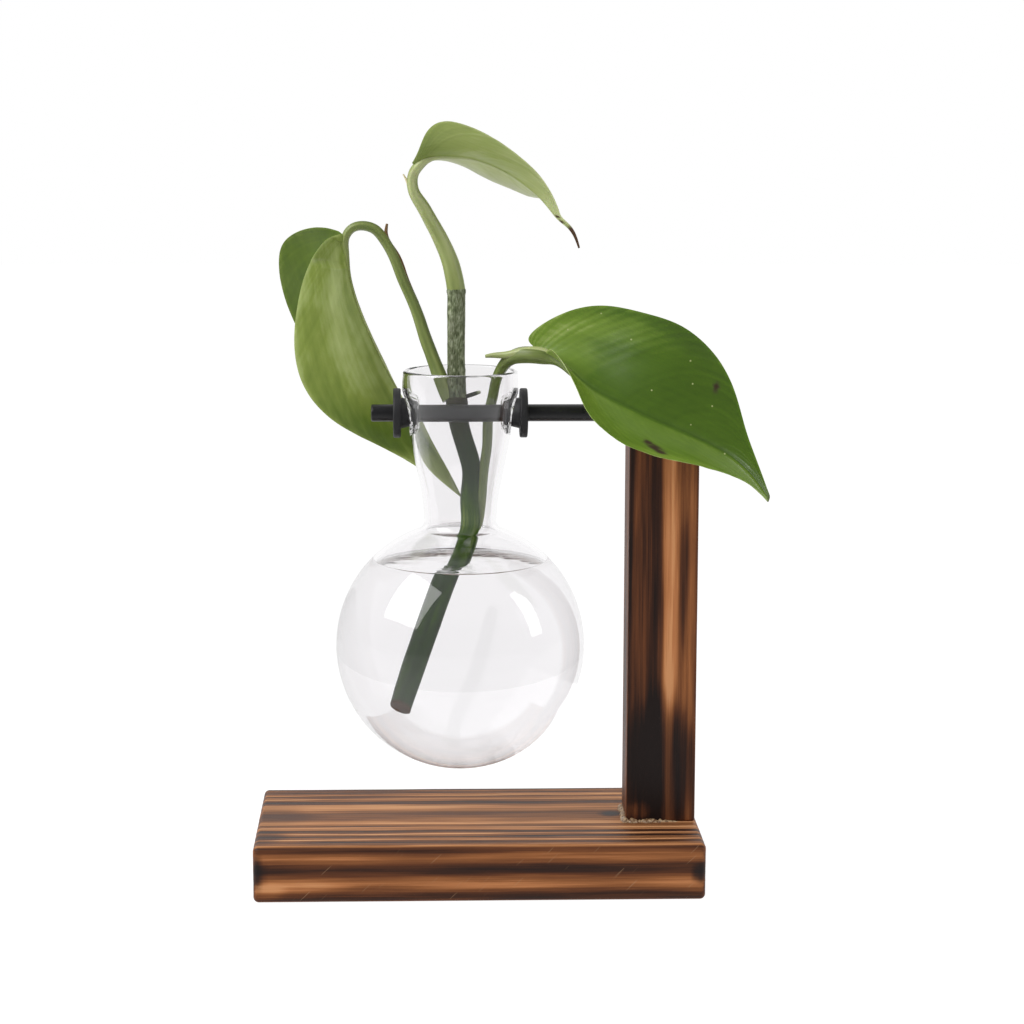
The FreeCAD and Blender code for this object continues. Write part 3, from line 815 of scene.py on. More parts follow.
@dataclass
class Stand:
    """Base board, post, rod, glue bead and screws."""

    board_low: tuple = (-70.0, -35.0, 0.0)
    board_high: tuple = (70.0, 35.0, 18.0)
    board_radius: float = 1.8
    post_low: tuple = (47.0, -9.0, 18.0)
    post_high: tuple = (69.0, 9.0, 162.96)
    post_radius: float = 0.7
    warm: float = 0.55
    warm_top: float = 0.28
    rod_radius: float = 2.7
    rod_start: float = -33.4
    rod_end: float = 62.0
    rod_chamfer: float = 0.5
    rod_dish: tuple = ((0, 0.15), (1.4, 0.12), (1.95, 0))
    glue_out: float = 1.7
    glue_high: float = 1.6
    glue_reach: float = 16.5
    glue_sunk: float = 0.12
    glue_behind: float = 0.6
    glue_steps: int = 150
    glue_corner: int = 12
    glue_mean: float = 0.72
    glue_uneven: float = 0.28

    def board(self) -> WoodBlock:
        """The board, its grain read off the top and the front from front to back.

        Returns:
            The block.
        """
        top = (
            (-35, 0.5), (-33.6, 0.78), (-31.8, 0.5), (-30, 0.18), (-28.7, 0.6), (-27.5, 0.82),
            (-25.6, 0.5), (-24, 0.18), (-22.3, 0.62), (-21, 0.82), (-19.4, 0.55), (-18.1, 0.16),
            (-16.6, 0.62), (-14.8, 0.88), (-13, 0.72), (-11.6, 0.34), (-10.2, 0.8), (-8.6, 0.92),
            (-6.5, 0.76), (-4.4, 0.6), (0.7, 0.5), (5, 0.56), (7.5, 0.76), (10.4, 0.94),
            (13.2, 0.76), (15, 0.38), (16.5, 0.2), (18.2, 0.45), (20.4, 0.84), (22, 0.62),
            (23.3, 0.3), (24.7, 0.62), (26.2, 0.76), (27.5, 0.5), (29, 0.2), (31, 0.5),
            (33, 0.22), (35, 0.35),
        )
        front = (
            (0, 0.14), (2.4, 0.26), (3.6, 0.56), (5.5, 0.76), (7, 0.66), (8.4, 0.56), (9.2, 0.34),
            (10.5, 0.24), (12, 0.4), (12.9, 0.58), (13.9, 0.72), (14.9, 0.62), (15.7, 0.42),
            (17, 0.3), (18, 0.4),
        )
        blots = (
            (Face.FRONT, 9.5, -70, 6.2, 3.0, -0.2, 0.85),
            (Face.FRONT, 4.6, -58, 2.6, 15.0, 0.26, 0.0),
            (Face.FRONT, 3.4, -66, 3.0, 6.0, 0.22, 0.0),
            (Face.FRONT, 8.5, 68.4, 3.4, 3.0, -0.2, 0.85),
            (Face.FRONT, 15.5, -30, 1.4, 34, -0.1, 0.1),
            (Face.FRONT, 5.4, 5, 1.6, 20, 0.1, 0.0),
            (Face.FRONT, 10.5, 22, 1.2, 26, -0.1, 0.15),
            (Face.TOP, 1, -66, 14, 12, -0.1, 0.25),
            (Face.TOP, -24, -67, 8, 7, -0.2, 0.25),
            (Face.TOP, 1, 43, 3.2, 3.2, -0.3, 0.75),
            (Face.TOP, 3, -20, 2.5, 38, -0.12, 0.08),
            (Face.TOP, 27, 30, 6, 40, 0.15, 0.0),
        )
        end = tuple((place, 0.7 * tone) for place, tone in top)
        under = tuple((place, 0.25 + 0.6 * tone) for place, tone in top)
        profiles = dict.fromkeys(Face, front)
        profiles |= {Face.TOP: top, Face.BOTTOM: under, Face.LEFT: end, Face.RIGHT: end}
        top_lines = ((-35, 0.17), (-12, 0.16), (-8, 0.05), (11, 0.05), (16, 0.16), (35, 0.16))
        lines = dict.fromkeys(Face, (1.5, ((0, 0.03), (18, 0.03)))) | {Face.TOP: (2.3, top_lines)}
        return WoodBlock(
            "board", "base_board", "charred_base_wood", self.board_low, self.board_high,
            self.board_radius, 0, profiles, blots,
            dict.fromkeys(Face, self.warm) | {Face.TOP: self.warm_top}, lines, 11,
            spacing_along=1.6, mottle=0.07,
        )

    def post(self) -> WoodBlock:
        """The post, with one tan streak down its front and scorched faces.

        Returns:
            The block.
        """
        front = (
            (47, 0.2), (48, 0.32), (49.4, 0.44), (51, 0.36), (53, 0.32), (54.6, 0.2),
            (56.2, 0.18), (57.4, 0.36), (58.6, 0.74), (59.8, 0.98), (61.2, 1.0), (62.4, 0.76),
            (63.4, 0.5), (65.2, 0.52), (66.8, 0.56), (68, 0.5), (69, 0.3),
        )
        side = (
            (-9, 0.3), (-7.6, 0.5), (-6, 0.3), (-4.4, 0.55), (-2.5, 0.4), (0, 0.2), (2, 0.5),
            (4, 0.3), (6, 0.6), (7.8, 0.35), (9, 0.2),
        )
        blots = (
            (Face.FRONT, 59, 36, 11.5, 25, -0.62, 0.4),
            (Face.FRONT, 56.2, 100, 1.2, 66, -0.04, 0.05),
            (Face.FRONT, 47.4, 90, 0.8, 70, -0.1, 0.1),
            (Face.FRONT, 50.8, 122, 2.0, 20, 0.1, 0.0),
            (Face.FRONT, 64.5, 96, 1.2, 22, -0.15, 0.3),
            (Face.FRONT, 53, 22, 5, 3, 0.35, 0.0),
            (Face.TOP, 58, 0, 9, 7, -0.2, 0.4),
            (Face.BACK, 55, 60, 5, 34, -0.3, 0.5),
            (Face.LEFT, 2, 55, 4, 30, -0.1, 0.1),
            (Face.RIGHT, -2, 100, 4, 36, -0.2, 0.4),
        )
        return WoodBlock(
            "post", "upright_post", "charred_post_wood", self.post_low, self.post_high,
            self.post_radius, 2, dict.fromkeys(Face, front) | {Face.LEFT: side, Face.RIGHT: side},
            blots, dict.fromkeys(Face, self.warm),
            dict.fromkeys(Face, (2.1, ((-9, 0.04), (69, 0.04)))), 23, wobble=0.6, mottle=0.08,
        )

    def rod(self) -> Surface:
        """A bar turned about X, with a bevel and a slight hollow at its free end.

        Returns:
            The surface.
        """
        r, c, start, end = self.rod_radius, self.rod_chamfer, self.rod_start, self.rod_end
        dish = np.array(self.rod_dish) + np.array([0, start])
        rim = rounded(r, start, c, -1)
        shank = np.stack([np.full(60, r), np.linspace(start + 2 * c, end - c, 60)], axis=-1)
        foot = np.array([[r - c, end], [0, end]])
        return bar_along_x(np.concatenate([dish, rim, shank, foot]), 0, 64)

    def glue(self) -> Surface:
        """Set glue squeezed out round the post's foot: an uneven bead on a three-sided path.

        Its direction outwards is smoothed at the corners. Each section is a quarter round whose
        width and height follow noise along the path.

        Returns:
            The surface.
        """
        x0, y0, count = self.post_low[0], -self.post_low[1], self.glue_steps
        reach = x0 + self.glue_reach
        corners = [(reach, -y0), (x0, -y0), (x0, y0), (reach, y0)]
        runs = [np.linspace(a, b, count, endpoint=False) for a, b in zip(corners, corners[1:])]
        path = np.concatenate(runs + [np.array([corners[-1]])])
        outward = np.repeat([[0, -1], [-1, 0], [0, 1.0]], (count, count, count + 1), axis=0)
        kernel = np.ones(2 * self.glue_corner + 1) / (2 * self.glue_corner + 1)
        padded = np.pad(outward, ((self.glue_corner,) * 2, (0, 0)), mode="edge")
        soft = [np.convolve(column, kernel, "valid") for column in padded.T]
        outward = unit(np.stack(soft, axis=-1))
        noise = SmoothNoise(5)
        at = np.pad(path, ((0, 0), (0, 1)))
        taper = np.clip(np.sin(np.linspace(0, math.pi, len(path))), 0.001, 1) ** 0.25
        width, height = (
            size * np.clip(self.glue_mean + self.glue_uneven * noise.at(at + shift, cell, 3), least, 1)
            for size, shift, cell, least in ((self.glue_out, 0, 1.3, 0.25), (self.glue_high, 30, 1.0, 0.2))
        )
        width, height = width * taper, height * taper
        turn = np.linspace(0, math.pi / 2, 12)
        away = np.concatenate([[-self.glue_behind], np.cos(turn), [-self.glue_behind]])
        rise = np.concatenate([[0], np.sin(turn) ** 1.3, [1]])
        reach_out = np.where(away < 0, away, away * width[:, None])
        points = np.empty((len(path), len(away) + 1, 3))
        points[:, :-1, :2] = path[:, None] + outward[:, None] * reach_out[..., None]
        points[:, :-1, 2] = self.board_high[2] - self.glue_sunk + rise * height[:, None]
        points[:, -1] = points[:, 0]
        ends = [points[:1] * 0 + points[k].mean(0) for k in (0, -1)]
        return Surface.grid(np.concatenate([ends[0], points, ends[1]]))

    def build(self) -> None:
        """Builds and dresses the stand."""
        self.board().build(CharredWood("torched and oiled softwood board", 0))
        self.post().build(CharredWood("torched and oiled softwood post", 2, scratch_depth=0.0))
        # Satin black powder coat: deep black, with soft broad highlights along the bar
        coat = Coated("satin black powder coat", "#151517", "#1a1a1c", (0.3, 0.38), 0.8, shine=0.4)
        self.rod().piece("rod", Body.STAND, "black_rod", coat.material(), ("hanging_rod",))
        # Set wood glue stained by soot: whitish crumbs in amber brown
        glue = Coated("set wood glue with soot", "#5e3d24", "#b79c79", (0.25, 0.5), 0.7, 0.15)
        self.glue().piece("glue", Body.STAND, "set_glue", glue.material(), ("glue_bead",))
        # Zinc plate over steel: a bright, slightly yellow and cloudy metal
        zinc = Coated("zinc-plated steel", "#b9b39a", "#a7a393", (0.25, 0.4), 1.2, 0.01, 1.0)
        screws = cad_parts["post_screws"]
        screws.data.materials.clear()
        screws.data.materials.append(zinc.material())


# Glass and water


@dataclass
class Vase:
    """Lamp-worked glass: a ball under a funnel neck with a dimple on each side, and the water.

    neck gives the share of the widening at shares of the neck's height. The squares are the
    patches of the neck beside the rod that the dimples fill.
    """

    ball_z: float = 74.1
    ball_radius: float = 39.4
    waist_z: float = 113.96
    waist_radius: float = 11.45
    fillet: float = 3.0
    rim_z: float = 161.46
    rim_radius: float = 17.9
    wall: float = 1.5
    neck: tuple = ((0, 0), (0.14, 0.085), (0.32, 0.32), (0.76, 0.93), (0.875, 1.04), (1, 1))
    throat_radius: float = 3.6
    throat_x: float = 12.96
    blend: float = 1.5
    square_turn: float = 41.0
    square_rise: float = 10.0
    square_columns: int = 36
    square_rows: int = 34
    rows_below: int = 24
    columns_between: int = 35
    water_z: float = 100.4
    water_overlap: float = 0.1
    climb: float = 0.8
    climb_width: float = 0.45
    ripple: float = 0.4
    ball_steps: int = 110
    arc_steps: int = 9
    dimple_steps: int = 30
    water_columns: int = 144

    def neck_radius(self, z: np.ndarray) -> np.ndarray:
        """Outer radius of the neck: a spline through the shares of its height and widening.

        Args:
            z: Heights of any shape.

        Returns:
            A radius for each height.
        """
        shares = np.array(self.neck)
        height = (z - self.waist_z) / (self.rim_z - self.waist_z)
        widening = spline_at(shares[:, 0], shares[:, 1:], height.ravel())[:, 0]
        return self.waist_radius + (self.rim_radius - self.waist_radius) * widening.reshape(z.shape)

    def lower_outline(self, inset: float) -> np.ndarray:
        """Ball and waist fillet from the lowest pole up, as two arcs.

        Args:
            inset: How far they are set in from the outer skin.

        Returns:
            Radius and height (n, 2).
        """
        ball, fillet = self.ball_radius - inset, self.fillet + inset
        centre = self.waist_radius + self.fillet
        joint = math.atan2(self.waist_z - self.ball_z, centre)
        turn = np.linspace(-math.pi / 2, joint, self.ball_steps)
        bend = np.linspace(joint + math.pi, math.pi, 12)[1:]
        arc = np.stack([ball * np.cos(turn), self.ball_z + ball * np.sin(turn)], axis=-1)
        arc[0, 0] = 0
        curve = [centre + fillet * np.cos(bend), self.waist_z + fillet * np.sin(bend)]
        return np.concatenate([arc, np.stack(curve, axis=-1)])

    def neck_rows(self) -> np.ndarray:
        """Heights of the neck's grid rows, with an even run beside the rod.

        Returns:
            Rising heights.
        """
        low, high = ROD_Z - self.square_rise, ROD_Z + self.square_rise
        below = np.linspace(self.waist_z, low, self.rows_below + 2)[1:-1]
        beside = np.linspace(low, high, self.square_rows + 1)
        above = np.linspace(high, self.rim_z - self.wall / 2, 7)[1:]
        return np.concatenate([below, beside, above])

    def columns(self) -> np.ndarray:
        """Turns of the grid columns: finer beside the rod on both sides.

        Returns:
            Rising angles over one whole turn.
        """
        square = math.radians(self.square_turn)
        near = np.linspace(-square, square, self.square_columns + 1)
        far = np.linspace(square, math.pi - square, self.columns_between + 2)[1:-1]
        return np.concatenate([near, far, near + math.pi, far + math.pi, near[:1] + 2 * math.pi])

    def skin(self, inset: float) -> Surface:
        """Outer or inner skin, turned about Z, open at the two squares beside the rod.

        Args:
            inset: 0 for the outer skin, the wall for the inner one.

        Returns:
            The surface.
        """
        z = self.neck_rows()
        upper = np.stack([self.neck_radius(z) - inset, z], axis=-1)
        outline = np.concatenate([self.lower_outline(inset), upper])
        points = spun(outline, self.columns())
        surface = Surface.grid(points)
        row, column = np.divmod(np.arange(len(surface.faces)), points.shape[1] - 1)
        start = len(outline) - len(z) + self.rows_below
        beside = (row >= start) & (row < start + self.square_rows)
        column = column % (self.square_columns + self.columns_between + 1)
        surface.faces = surface.faces[~(beside & (column < self.square_columns))]
        return surface

    def loop(self, inset: float) -> tuple[np.ndarray, np.ndarray]:
        """The square's edge points, in order round it.

        Args:
            inset: 0 for the outer skin, the wall for the inner one.

        Returns:
            Y and height above the rod of each point.
        """
        turns = self.columns()[: self.square_columns + 1]
        z = np.linspace(-self.square_rise, self.square_rise, self.square_rows + 1)
        low, high = z[0] + 0 * turns, z[-1] + 0 * turns
        turn = np.concatenate([turns, 0 * z[1:] + turns[-1], turns[-2::-1], 0 * z[1:] + turns[0]])
        rise = np.concatenate([low, z[1:], high[1:], z[-2::-1]])
        return (self.neck_radius(ROD_Z + rise) - inset) * np.sin(turn), rise

    def dimple(self, side: int) -> Surface:
        """One pressed-in dimple: outer face, rounded throat and inner face in one grid.

        Outside and inside, each point takes the smaller of the neck's own distance from the axis
        and the funnel's, rounded where they meet.

        Args:
            side: 1 towards the post, -1 away from it.

        Returns:
            The surface.
        """
        leaning = math.sqrt(1 + FUNNEL_SLOPE**2)
        lip = self.wall / 2
        middle = self.throat_radius + lip * leaning + lip * FUNNEL_SLOPE
        first = math.atan2(FUNNEL_SLOPE, -1)
        arc = np.linspace(first, first + math.pi, self.arc_steps)
        throat = np.stack([middle + lip * np.cos(arc), self.throat_x + lip + lip * np.sin(arc)], -1)
        faces = []
        for inset, end in ((0.0, throat[0]), (self.wall, throat[-1])):
            y, rise = self.loop(inset)
            angle = np.arctan2(rise, y)
            share = np.linspace(0, 1, self.dimple_steps)[:, None] ** 0.8
            yy = y + (end[0] * np.cos(angle) - y) * share
            zz = rise + (end[0] * np.sin(angle) - rise) * share
            plain = np.sqrt(np.clip((self.neck_radius(ROD_Z + zz) - inset) ** 2 - yy**2, 0, None))
            beyond = np.hypot(yy, zz) - self.throat_radius - inset * leaning
            funnel = self.throat_x + beyond / FUNNEL_SLOPE
            overlap = np.clip(1 - np.abs(plain - funnel) / self.blend, 0, None)
            x = np.minimum(plain, funnel) - overlap**2 * self.blend / 4
            faces.append((np.stack([x, yy, zz], axis=-1), angle))
        reach, across = throat[1:-1, :1], throat[1:-1, 1:]
        angle = faces[0][1]
        lip_rows = np.stack([across + 0 * angle, reach * np.cos(angle), reach * np.sin(angle)], -1)
        points = np.concatenate([faces[0][0], lip_rows, faces[1][0][::-1]])
        return Surface.grid(points * np.array([side, side, 1]) + np.array([0, 0, ROD_Z]))

    def glass(self) -> Surface:
        """The whole glass: both skins, the round lip and the two dimples.

        Returns:
            The surface.
        """
        half = self.wall / 2
        arc = np.linspace(0, math.pi, self.arc_steps)
        middle = self.neck_radius(np.array([self.rim_z - half]))[0] - half
        lip = np.stack([middle + half * np.cos(arc), self.rim_z - half + half * np.sin(arc)], -1)
        parts = [self.skin(0.0), self.skin(self.wall), Surface.grid(spun(lip, self.columns()))]
        whole = Surface.joined(parts + [self.dimple(side) for side in (1, -1)])
        whole.points = whole.points + np.array([VASE_X, 0, 0])
        return whole

    def water(self) -> Surface:
        """Water up to its level: the ball's inside, a meniscus at the wall, and slight ripples.

        It reaches a little into the glass, so that no air shows between them.

        Returns:
            The surface.
        """
        ball = self.ball_radius - self.wall + self.water_overlap
        level = self.water_z - self.ball_z
        turn = np.linspace(-math.pi / 2, math.asin((level + self.climb) / ball), 100)
        outer = np.stack([ball * np.cos(turn), ball * np.sin(turn)], axis=-1)
        outer[0, 0] = 0
        edge = outer[-1, 0]
        radius = edge * (1 - np.linspace(0, 1, 90)[1:] ** 1.8)
        height = level + self.climb * np.exp(-(edge - radius) / self.climb_width)
        outline = np.concatenate([outer, np.stack([radius, height], axis=-1)])
        points = spun(outline, full_turn(self.water_columns)) + np.array([VASE_X, 0, self.ball_z])
        away = np.hypot(points[..., 0] - VASE_X, points[..., 1]) / edge
        ripple = SmoothNoise(3).at(points * np.array([1, 1, 0]), (5, 2.6, 9), 2)
        lift = self.ripple * ripple * np.clip(1 - away**4, 0, 1)
        points[..., 2] += np.where(points[..., 2] > self.water_z - 0.3, lift, 0)
        return Surface.grid(points)

    def build(self) -> None:
        """Builds and dresses the glass and the water."""
        # Lamp-worked borosilicate: colourless, sharp, with bright edges at the rim and dimples
        glass = Clear("clear lamp-worked borosilicate glass", "#fefdfe", 1.473)
        self.glass().piece("glass", Body.VASE, "clear_glass", glass.material(), ("glass_vase",), 80)
        # Still tap water: colourless, and a lens for what stands in it
        water = Clear("still tap water", "#fefefe", 1.333)
        self.water().piece("water", Body.VASE, "clear_glass", water.material(), sharp_over=80)


@dataclass
class Rings:
    """The two flanged rubber rings that hold the vase on the rod.

    recess gives the flange's outer face: radius, and depth under the face.
    """

    bore: float = 2.75
    face: float = 18.6
    flange: float = 7.75
    thick: float = 2.4
    edge: float = 0.5
    bevel: float = 0.3
    hub_start: float = 13.96
    hub_radius: float = 3.8
    hub_share: float = 0.45
    recess: tuple = ((5.6, 0), (5.2, 0.35), (4.4, 0.45), (3.9, 0.1), (3.3, 0))

    def ring(self, side: int) -> Surface:
        """One ring: bore, tapered hub, flange with rounded rims and a shallow outer recess.

        Args:
            side: 1 towards the post, -1 away from it.

        Returns:
            The surface.
        """
        out, start, b = self.face + self.thick, self.hub_start, self.bevel
        foot = self.hub_radius + (self.face - start) * FUNNEL_SLOPE * self.hub_share
        hub = [
            [self.bore, start + b], [self.hub_radius - b, start], [self.hub_radius, start + b],
            [foot - 0.1, self.face - 0.2], [foot + 0.2, self.face],
        ]
        outline = np.concatenate([
            hub,
            rounded(self.flange, self.face, self.edge, -1),
            rounded(self.flange, out, self.edge, 1),
            np.array(self.recess) * np.array([1, -1]) + np.array([0, out]),
            [[self.bore, out - b], [self.bore, start + b]],
        ])
        return bar_along_x(outline * np.array([1, side]), VASE_X, 96)

    def build(self) -> None:
        """Builds and dresses both rings."""
        # Moulded nitrile rubber: matt black with a faint bloom
        rubber = Coated("moulded black nitrile rubber", "#111113", "#1c1c1f", (0.5, 0.68), 0.6, 0.02)
        material = rubber.material()
        for side, name, body in ((-1, "left", Body.LEFT_RING), (1, "right", Body.RIGHT_RING)):
            nodes = ("rubber_ring_" + name,)
            self.ring(side).piece("ring_" + name, body, "black_rubber", material, nodes, 40)


# Cutting


@dataclass
class Stalk:
    """A stem or leaf stalk: a tube through route points, each with its radius.

    shade and dry are tables along it. Each ring is its place, height and width. Scurf is how
    crusty the skin is.
    """

    name: str
    node: str
    slot: str
    route: tuple
    ribs: float = 0.05
    rib_count: int = 7
    shade: tuple = ((0, 0.5), (1, 0.5))
    dry: tuple = ((0, 0.0), (1, 0.0))
    scurf: float = 0.0
    rings: tuple = ()
    seed: int = 1
    columns: int = 48
    spacing: float = 0.5
    lumps: float = 0.07
    crust_high: float = 0.08
    crust_tone: float = 0.3
    patch_tone: float = 0.1
    round_tone: float = 0.05

    def surface(self) -> Surface:
        """The tube, with lengthwise ribs, fine lumps and raised rings as relief.

        Returns:
            The surface.
        """
        route = np.array(self.route)
        length = np.linalg.norm(np.diff(route[:, :3], axis=0), axis=1).sum()
        count = int(length / self.spacing) + 2
        line = smooth_through(route, count)
        share = np.linspace(0, 1, count)[:, None]
        turn = full_turn(self.columns)
        noise = SmoothNoise(self.seed)
        round_way = [line[:, 3:] * np.cos(turn), line[:, 3:] * np.sin(turn)]
        around = np.stack(np.broadcast_arrays(*round_way, share * length), axis=-1)
        patchy = noise.at(around + 50, (2.0, 2.0, 12.0), 2)
        crust = self.scurf * noise.at(around + 20, (0.8, 0.8, 1.3), 3)
        relief = self.ribs * np.cos(self.rib_count * turn + 0.8 * np.sin(3 * share))
        relief = relief + self.lumps * noise.at(around, (2.2, 2.2, 7.0), 2)
        for place, high, wide in self.rings:
            relief = relief + high * bump((share - place) * length, wide)
        relief = relief + self.crust_high * crust
        shade = read_table(share, self.shade) + self.patch_tone * patchy
        shade = shade + self.round_tone * np.cos(5 * turn + 1)
        shade = shade + self.crust_tone * np.clip(crust, -0.4 * self.scurf, 1)
        dry = read_table(share, self.dry) + self.scurf * 0.7 * np.clip(patchy, 0, 1)
        return tube(line, self.columns, relief, shade=shade, dry=np.clip(dry, 0, 1))

    def build(self, material: Material) -> None:
        """Builds and dresses the stalk."""
        self.surface().piece(self.name, Body.CUTTING, self.slot, material, (self.node,), 70)


@dataclass
class Leaf:
    """A folded leaf blade between a midrib and two margins.

    Each row of the table gives the midrib, the near and the far margin at one place along the
    leaf, as shares of its length from its root. Shades are tables along it. Each painted sheen
    or dark patch is a soft patch (place, side, half sizes, shade): a painted highlight where its
    shade is above 0, darker where below. Each spot is a dry one (place, side, size).
    """

    name: str
    node: str
    slot: str
    root: tuple[float, float, float]
    length: float
    table: tuple
    near_shade: tuple
    far_shade: tuple
    inside_shade: tuple
    painted_sheen_and_dark_patches: tuple = ()
    spots: tuple = ()
    thick: float = 0.5
    fold: float = 0.02
    bow: float = 0.1
    # Painted sheen: extra shade that lightens the near half of the inside skin
    inside_near_sheen: float = 0.0
    vein_gap: float = 3.0
    vein_sweep: float = 30.0
    vein_shade: float = 0.018
    vein_height: float = 0.025
    fine_height: float = 0.04
    flutter: float = 0.25
    rib_at: float = 0.0
    rib_high: float = 0.22
    rib_thick: float = 0.5
    margin_light: float = 0.16
    line_dark: float = 0.12
    dry_from: float = 2.0
    dry_fade: float = 0.04
    full_width: float = 9.0
    rib_wide: float = 0.7
    margin_wide: float = 0.45
    line_wide: float = 0.5
    fold_sharp: float = 12.0
    wave_tone: float = 0.05
    fine_tone: float = 0.03
    patch_tone: float = 0.035
    ragged: float = 0.25
    seed: int = 1
    rows: int = 170
    columns: int = 96

    def blade(self, v: np.ndarray) -> tuple[np.ndarray, np.ndarray, np.ndarray]:
        """The blade's middle sheet, its outward directions and its width.

        A point is the midrib plus shares of the way to the near and far margins, eased across
        the fold and bowed outwards.

        Args:
            v: Places across, from -1 at the near margin to 1 at the far one.

        Returns:
            Points, directions (rows, columns + 1, 3) and widths (rows, 1).
        """
        table = np.array(self.table).reshape(len(self.table), 9) * self.length
        rails = smooth_through(table, self.rows) + np.tile(self.root, 3)
        mid, near, far = (rails[:, None, k : k + 3] for k in (0, 3, 6))
        hinge = np.sqrt(v**2 + self.fold**2)
        reach = 1 + math.sqrt(1 + self.fold**2)
        out = square_to(mid - (near + far) / 2, far - near)
        p = mid
        for way, margin in ((-1, near), (1, far)):
            share = np.clip((hinge + way * v) / reach, 0, 1)[:, None]
            chord = mid - margin
            size = np.linalg.norm(chord, axis=-1, keepdims=True)
            p = p - share * chord + square_to(out, chord) * size * 4 * self.bow * share * (1 - share)
        normal = np.cross(np.gradient(p, axis=0), np.gradient(p, axis=1))
        normal /= np.linalg.norm(normal, axis=-1, keepdims=True) + 1e-12
        normal *= np.sign((normal * out).sum(-1).mean())
        return p, normal, np.linalg.norm(far - near, axis=-1)

    def surface(self) -> Surface:
        """Two skins of the blade that meet at the margins, lifted by the veins and the rib.

        Returns:
            The surface.
        """
        v = np.sin(np.linspace(-1, 1, self.columns + 1) * math.pi / 2)
        p, normal, width = self.blade(v)
        along, side = np.linspace(0, 1, self.rows)[:, None], np.abs(v)
        across = v * width / 2
        body = ease(width / self.full_width)
        noise = SmoothNoise(self.seed)
        sweep = along * self.length - self.vein_sweep * side**1.4
        vein = np.cos(2 * math.pi * sweep / self.vein_gap + 1.3 * noise.at(p, 14.0))
        brushed = np.stack(np.broadcast_arrays(sweep, side * 3, np.sign(v)), axis=-1)
        fine = noise.at(brushed, (1.3, 2.5, 1), 2)
        wave = noise.at(p, 11.0, 2)
        rib = bump(across, self.rib_wide)
        veins = self.vein_height * vein * side * (1 - side) * 4
        lift = body * (veins + self.fine_height * fine + self.flutter * wave * side + self.rib_high * rib)
        thick = self.thick * (0.25 + 0.75 * (1 - side**3)) * (0.35 + 0.65 * body)
        thick = thick + body * self.rib_thick * rib
        outer = p + normal * lift[..., None]
        outer[0] = outer[0].mean(0)
        inner = p + normal * (lift - thick)[..., None]
        inner[:, [0, -1]] = outer[:, [0, -1]]
        inner[[0, -1]] = outer[[0, -1]]
        crossed = ease(0.5 + (v - self.rib_at) * self.fold_sharp)
        near, far = (read_table(along, table) for table in (self.near_shade, self.far_shade))
        inside = read_table(along, self.inside_shade)
        # Painted sheen on the tilted near half of the inside skin
        inside = inside + self.inside_near_sheen * ease(-v * self.fold_sharp)
        common = self.vein_shade * vein * side + self.wave_tone * wave + self.fine_tone * fine
        common = common + self.patch_tone * noise.at(p, (5.0, 5.0, 3.5), 3)
        common = common + self.margin_light * bump((1 - side) * width / 2, self.margin_wide)
        common = common - self.line_dark * bump((v - self.rib_at) * width / 2, self.line_wide)
        # Painted sheen: patches that raise the shade are painted highlights, those that lower it are
        # darker
        for s_at, v_at, s_half, v_half, by in self.painted_sheen_and_dark_patches:
            common = common + by * blot(np.hypot((along - s_at) / s_half, (v - v_at) / v_half))
        dry = ease((along - self.dry_from) / self.dry_fade) + 0 * sweep
        for s_at, v_at, half in self.spots:
            gap = np.hypot((along - s_at) * self.length, (v - v_at) * width / 2)
            dry = dry + blot(gap / half * (1 + self.ragged * fine))
        uv = np.stack(np.broadcast_arrays(across, sweep), axis=-1)
        return Surface.joined([
            Surface.grid(points, uv, shade=shade + common, dry=np.clip(dry, 0, 1))
            for points, shade in ((outer, near + (far - near) * crossed), (inner, inside))
        ])

    def build(self, material: Material) -> None:
        """Builds and dresses the blade."""
        self.surface().piece(self.name, Body.CUTTING, self.slot, material, (self.node,), 100)


LEFT_LEAF = (
    ((0, 0, 0), (-0.012, -0.012, 0.012), (-0.014, 0.016, 0.016)),
    ((0.002, 0.005, -0.05), (-0.067, -0.033, -0.01), (-0.093, 0.043, 0.032)),
    ((0.01, 0.01, -0.11), (-0.122, -0.06, -0.09), (-0.19, 0.1, 0)),
    ((0.03, 0.016, -0.2), (-0.16, -0.075, -0.215), (-0.235, 0.14, -0.09)),
    ((0.07, 0.027, -0.305), (-0.175, -0.075, -0.35), (-0.22, 0.185, -0.215)),
    ((0.127, 0.038, -0.43), (-0.145, -0.06, -0.505), (-0.15, 0.205, -0.385)),
    ((0.196, 0.048, -0.565), (-0.038, -0.038, -0.633), (-0.035, 0.195, -0.55)),
    ((0.272, 0.048, -0.692), (0.105, -0.01, -0.716), (0.125, 0.15, -0.688)),
    ((0.345, 0.038, -0.808), (0.254, 0.016, -0.804), (0.265, 0.098, -0.798)),
    ((0.401, 0.033, -0.905), (0.391, 0.026, -0.9), (0.391, 0.042, -0.9)),
)
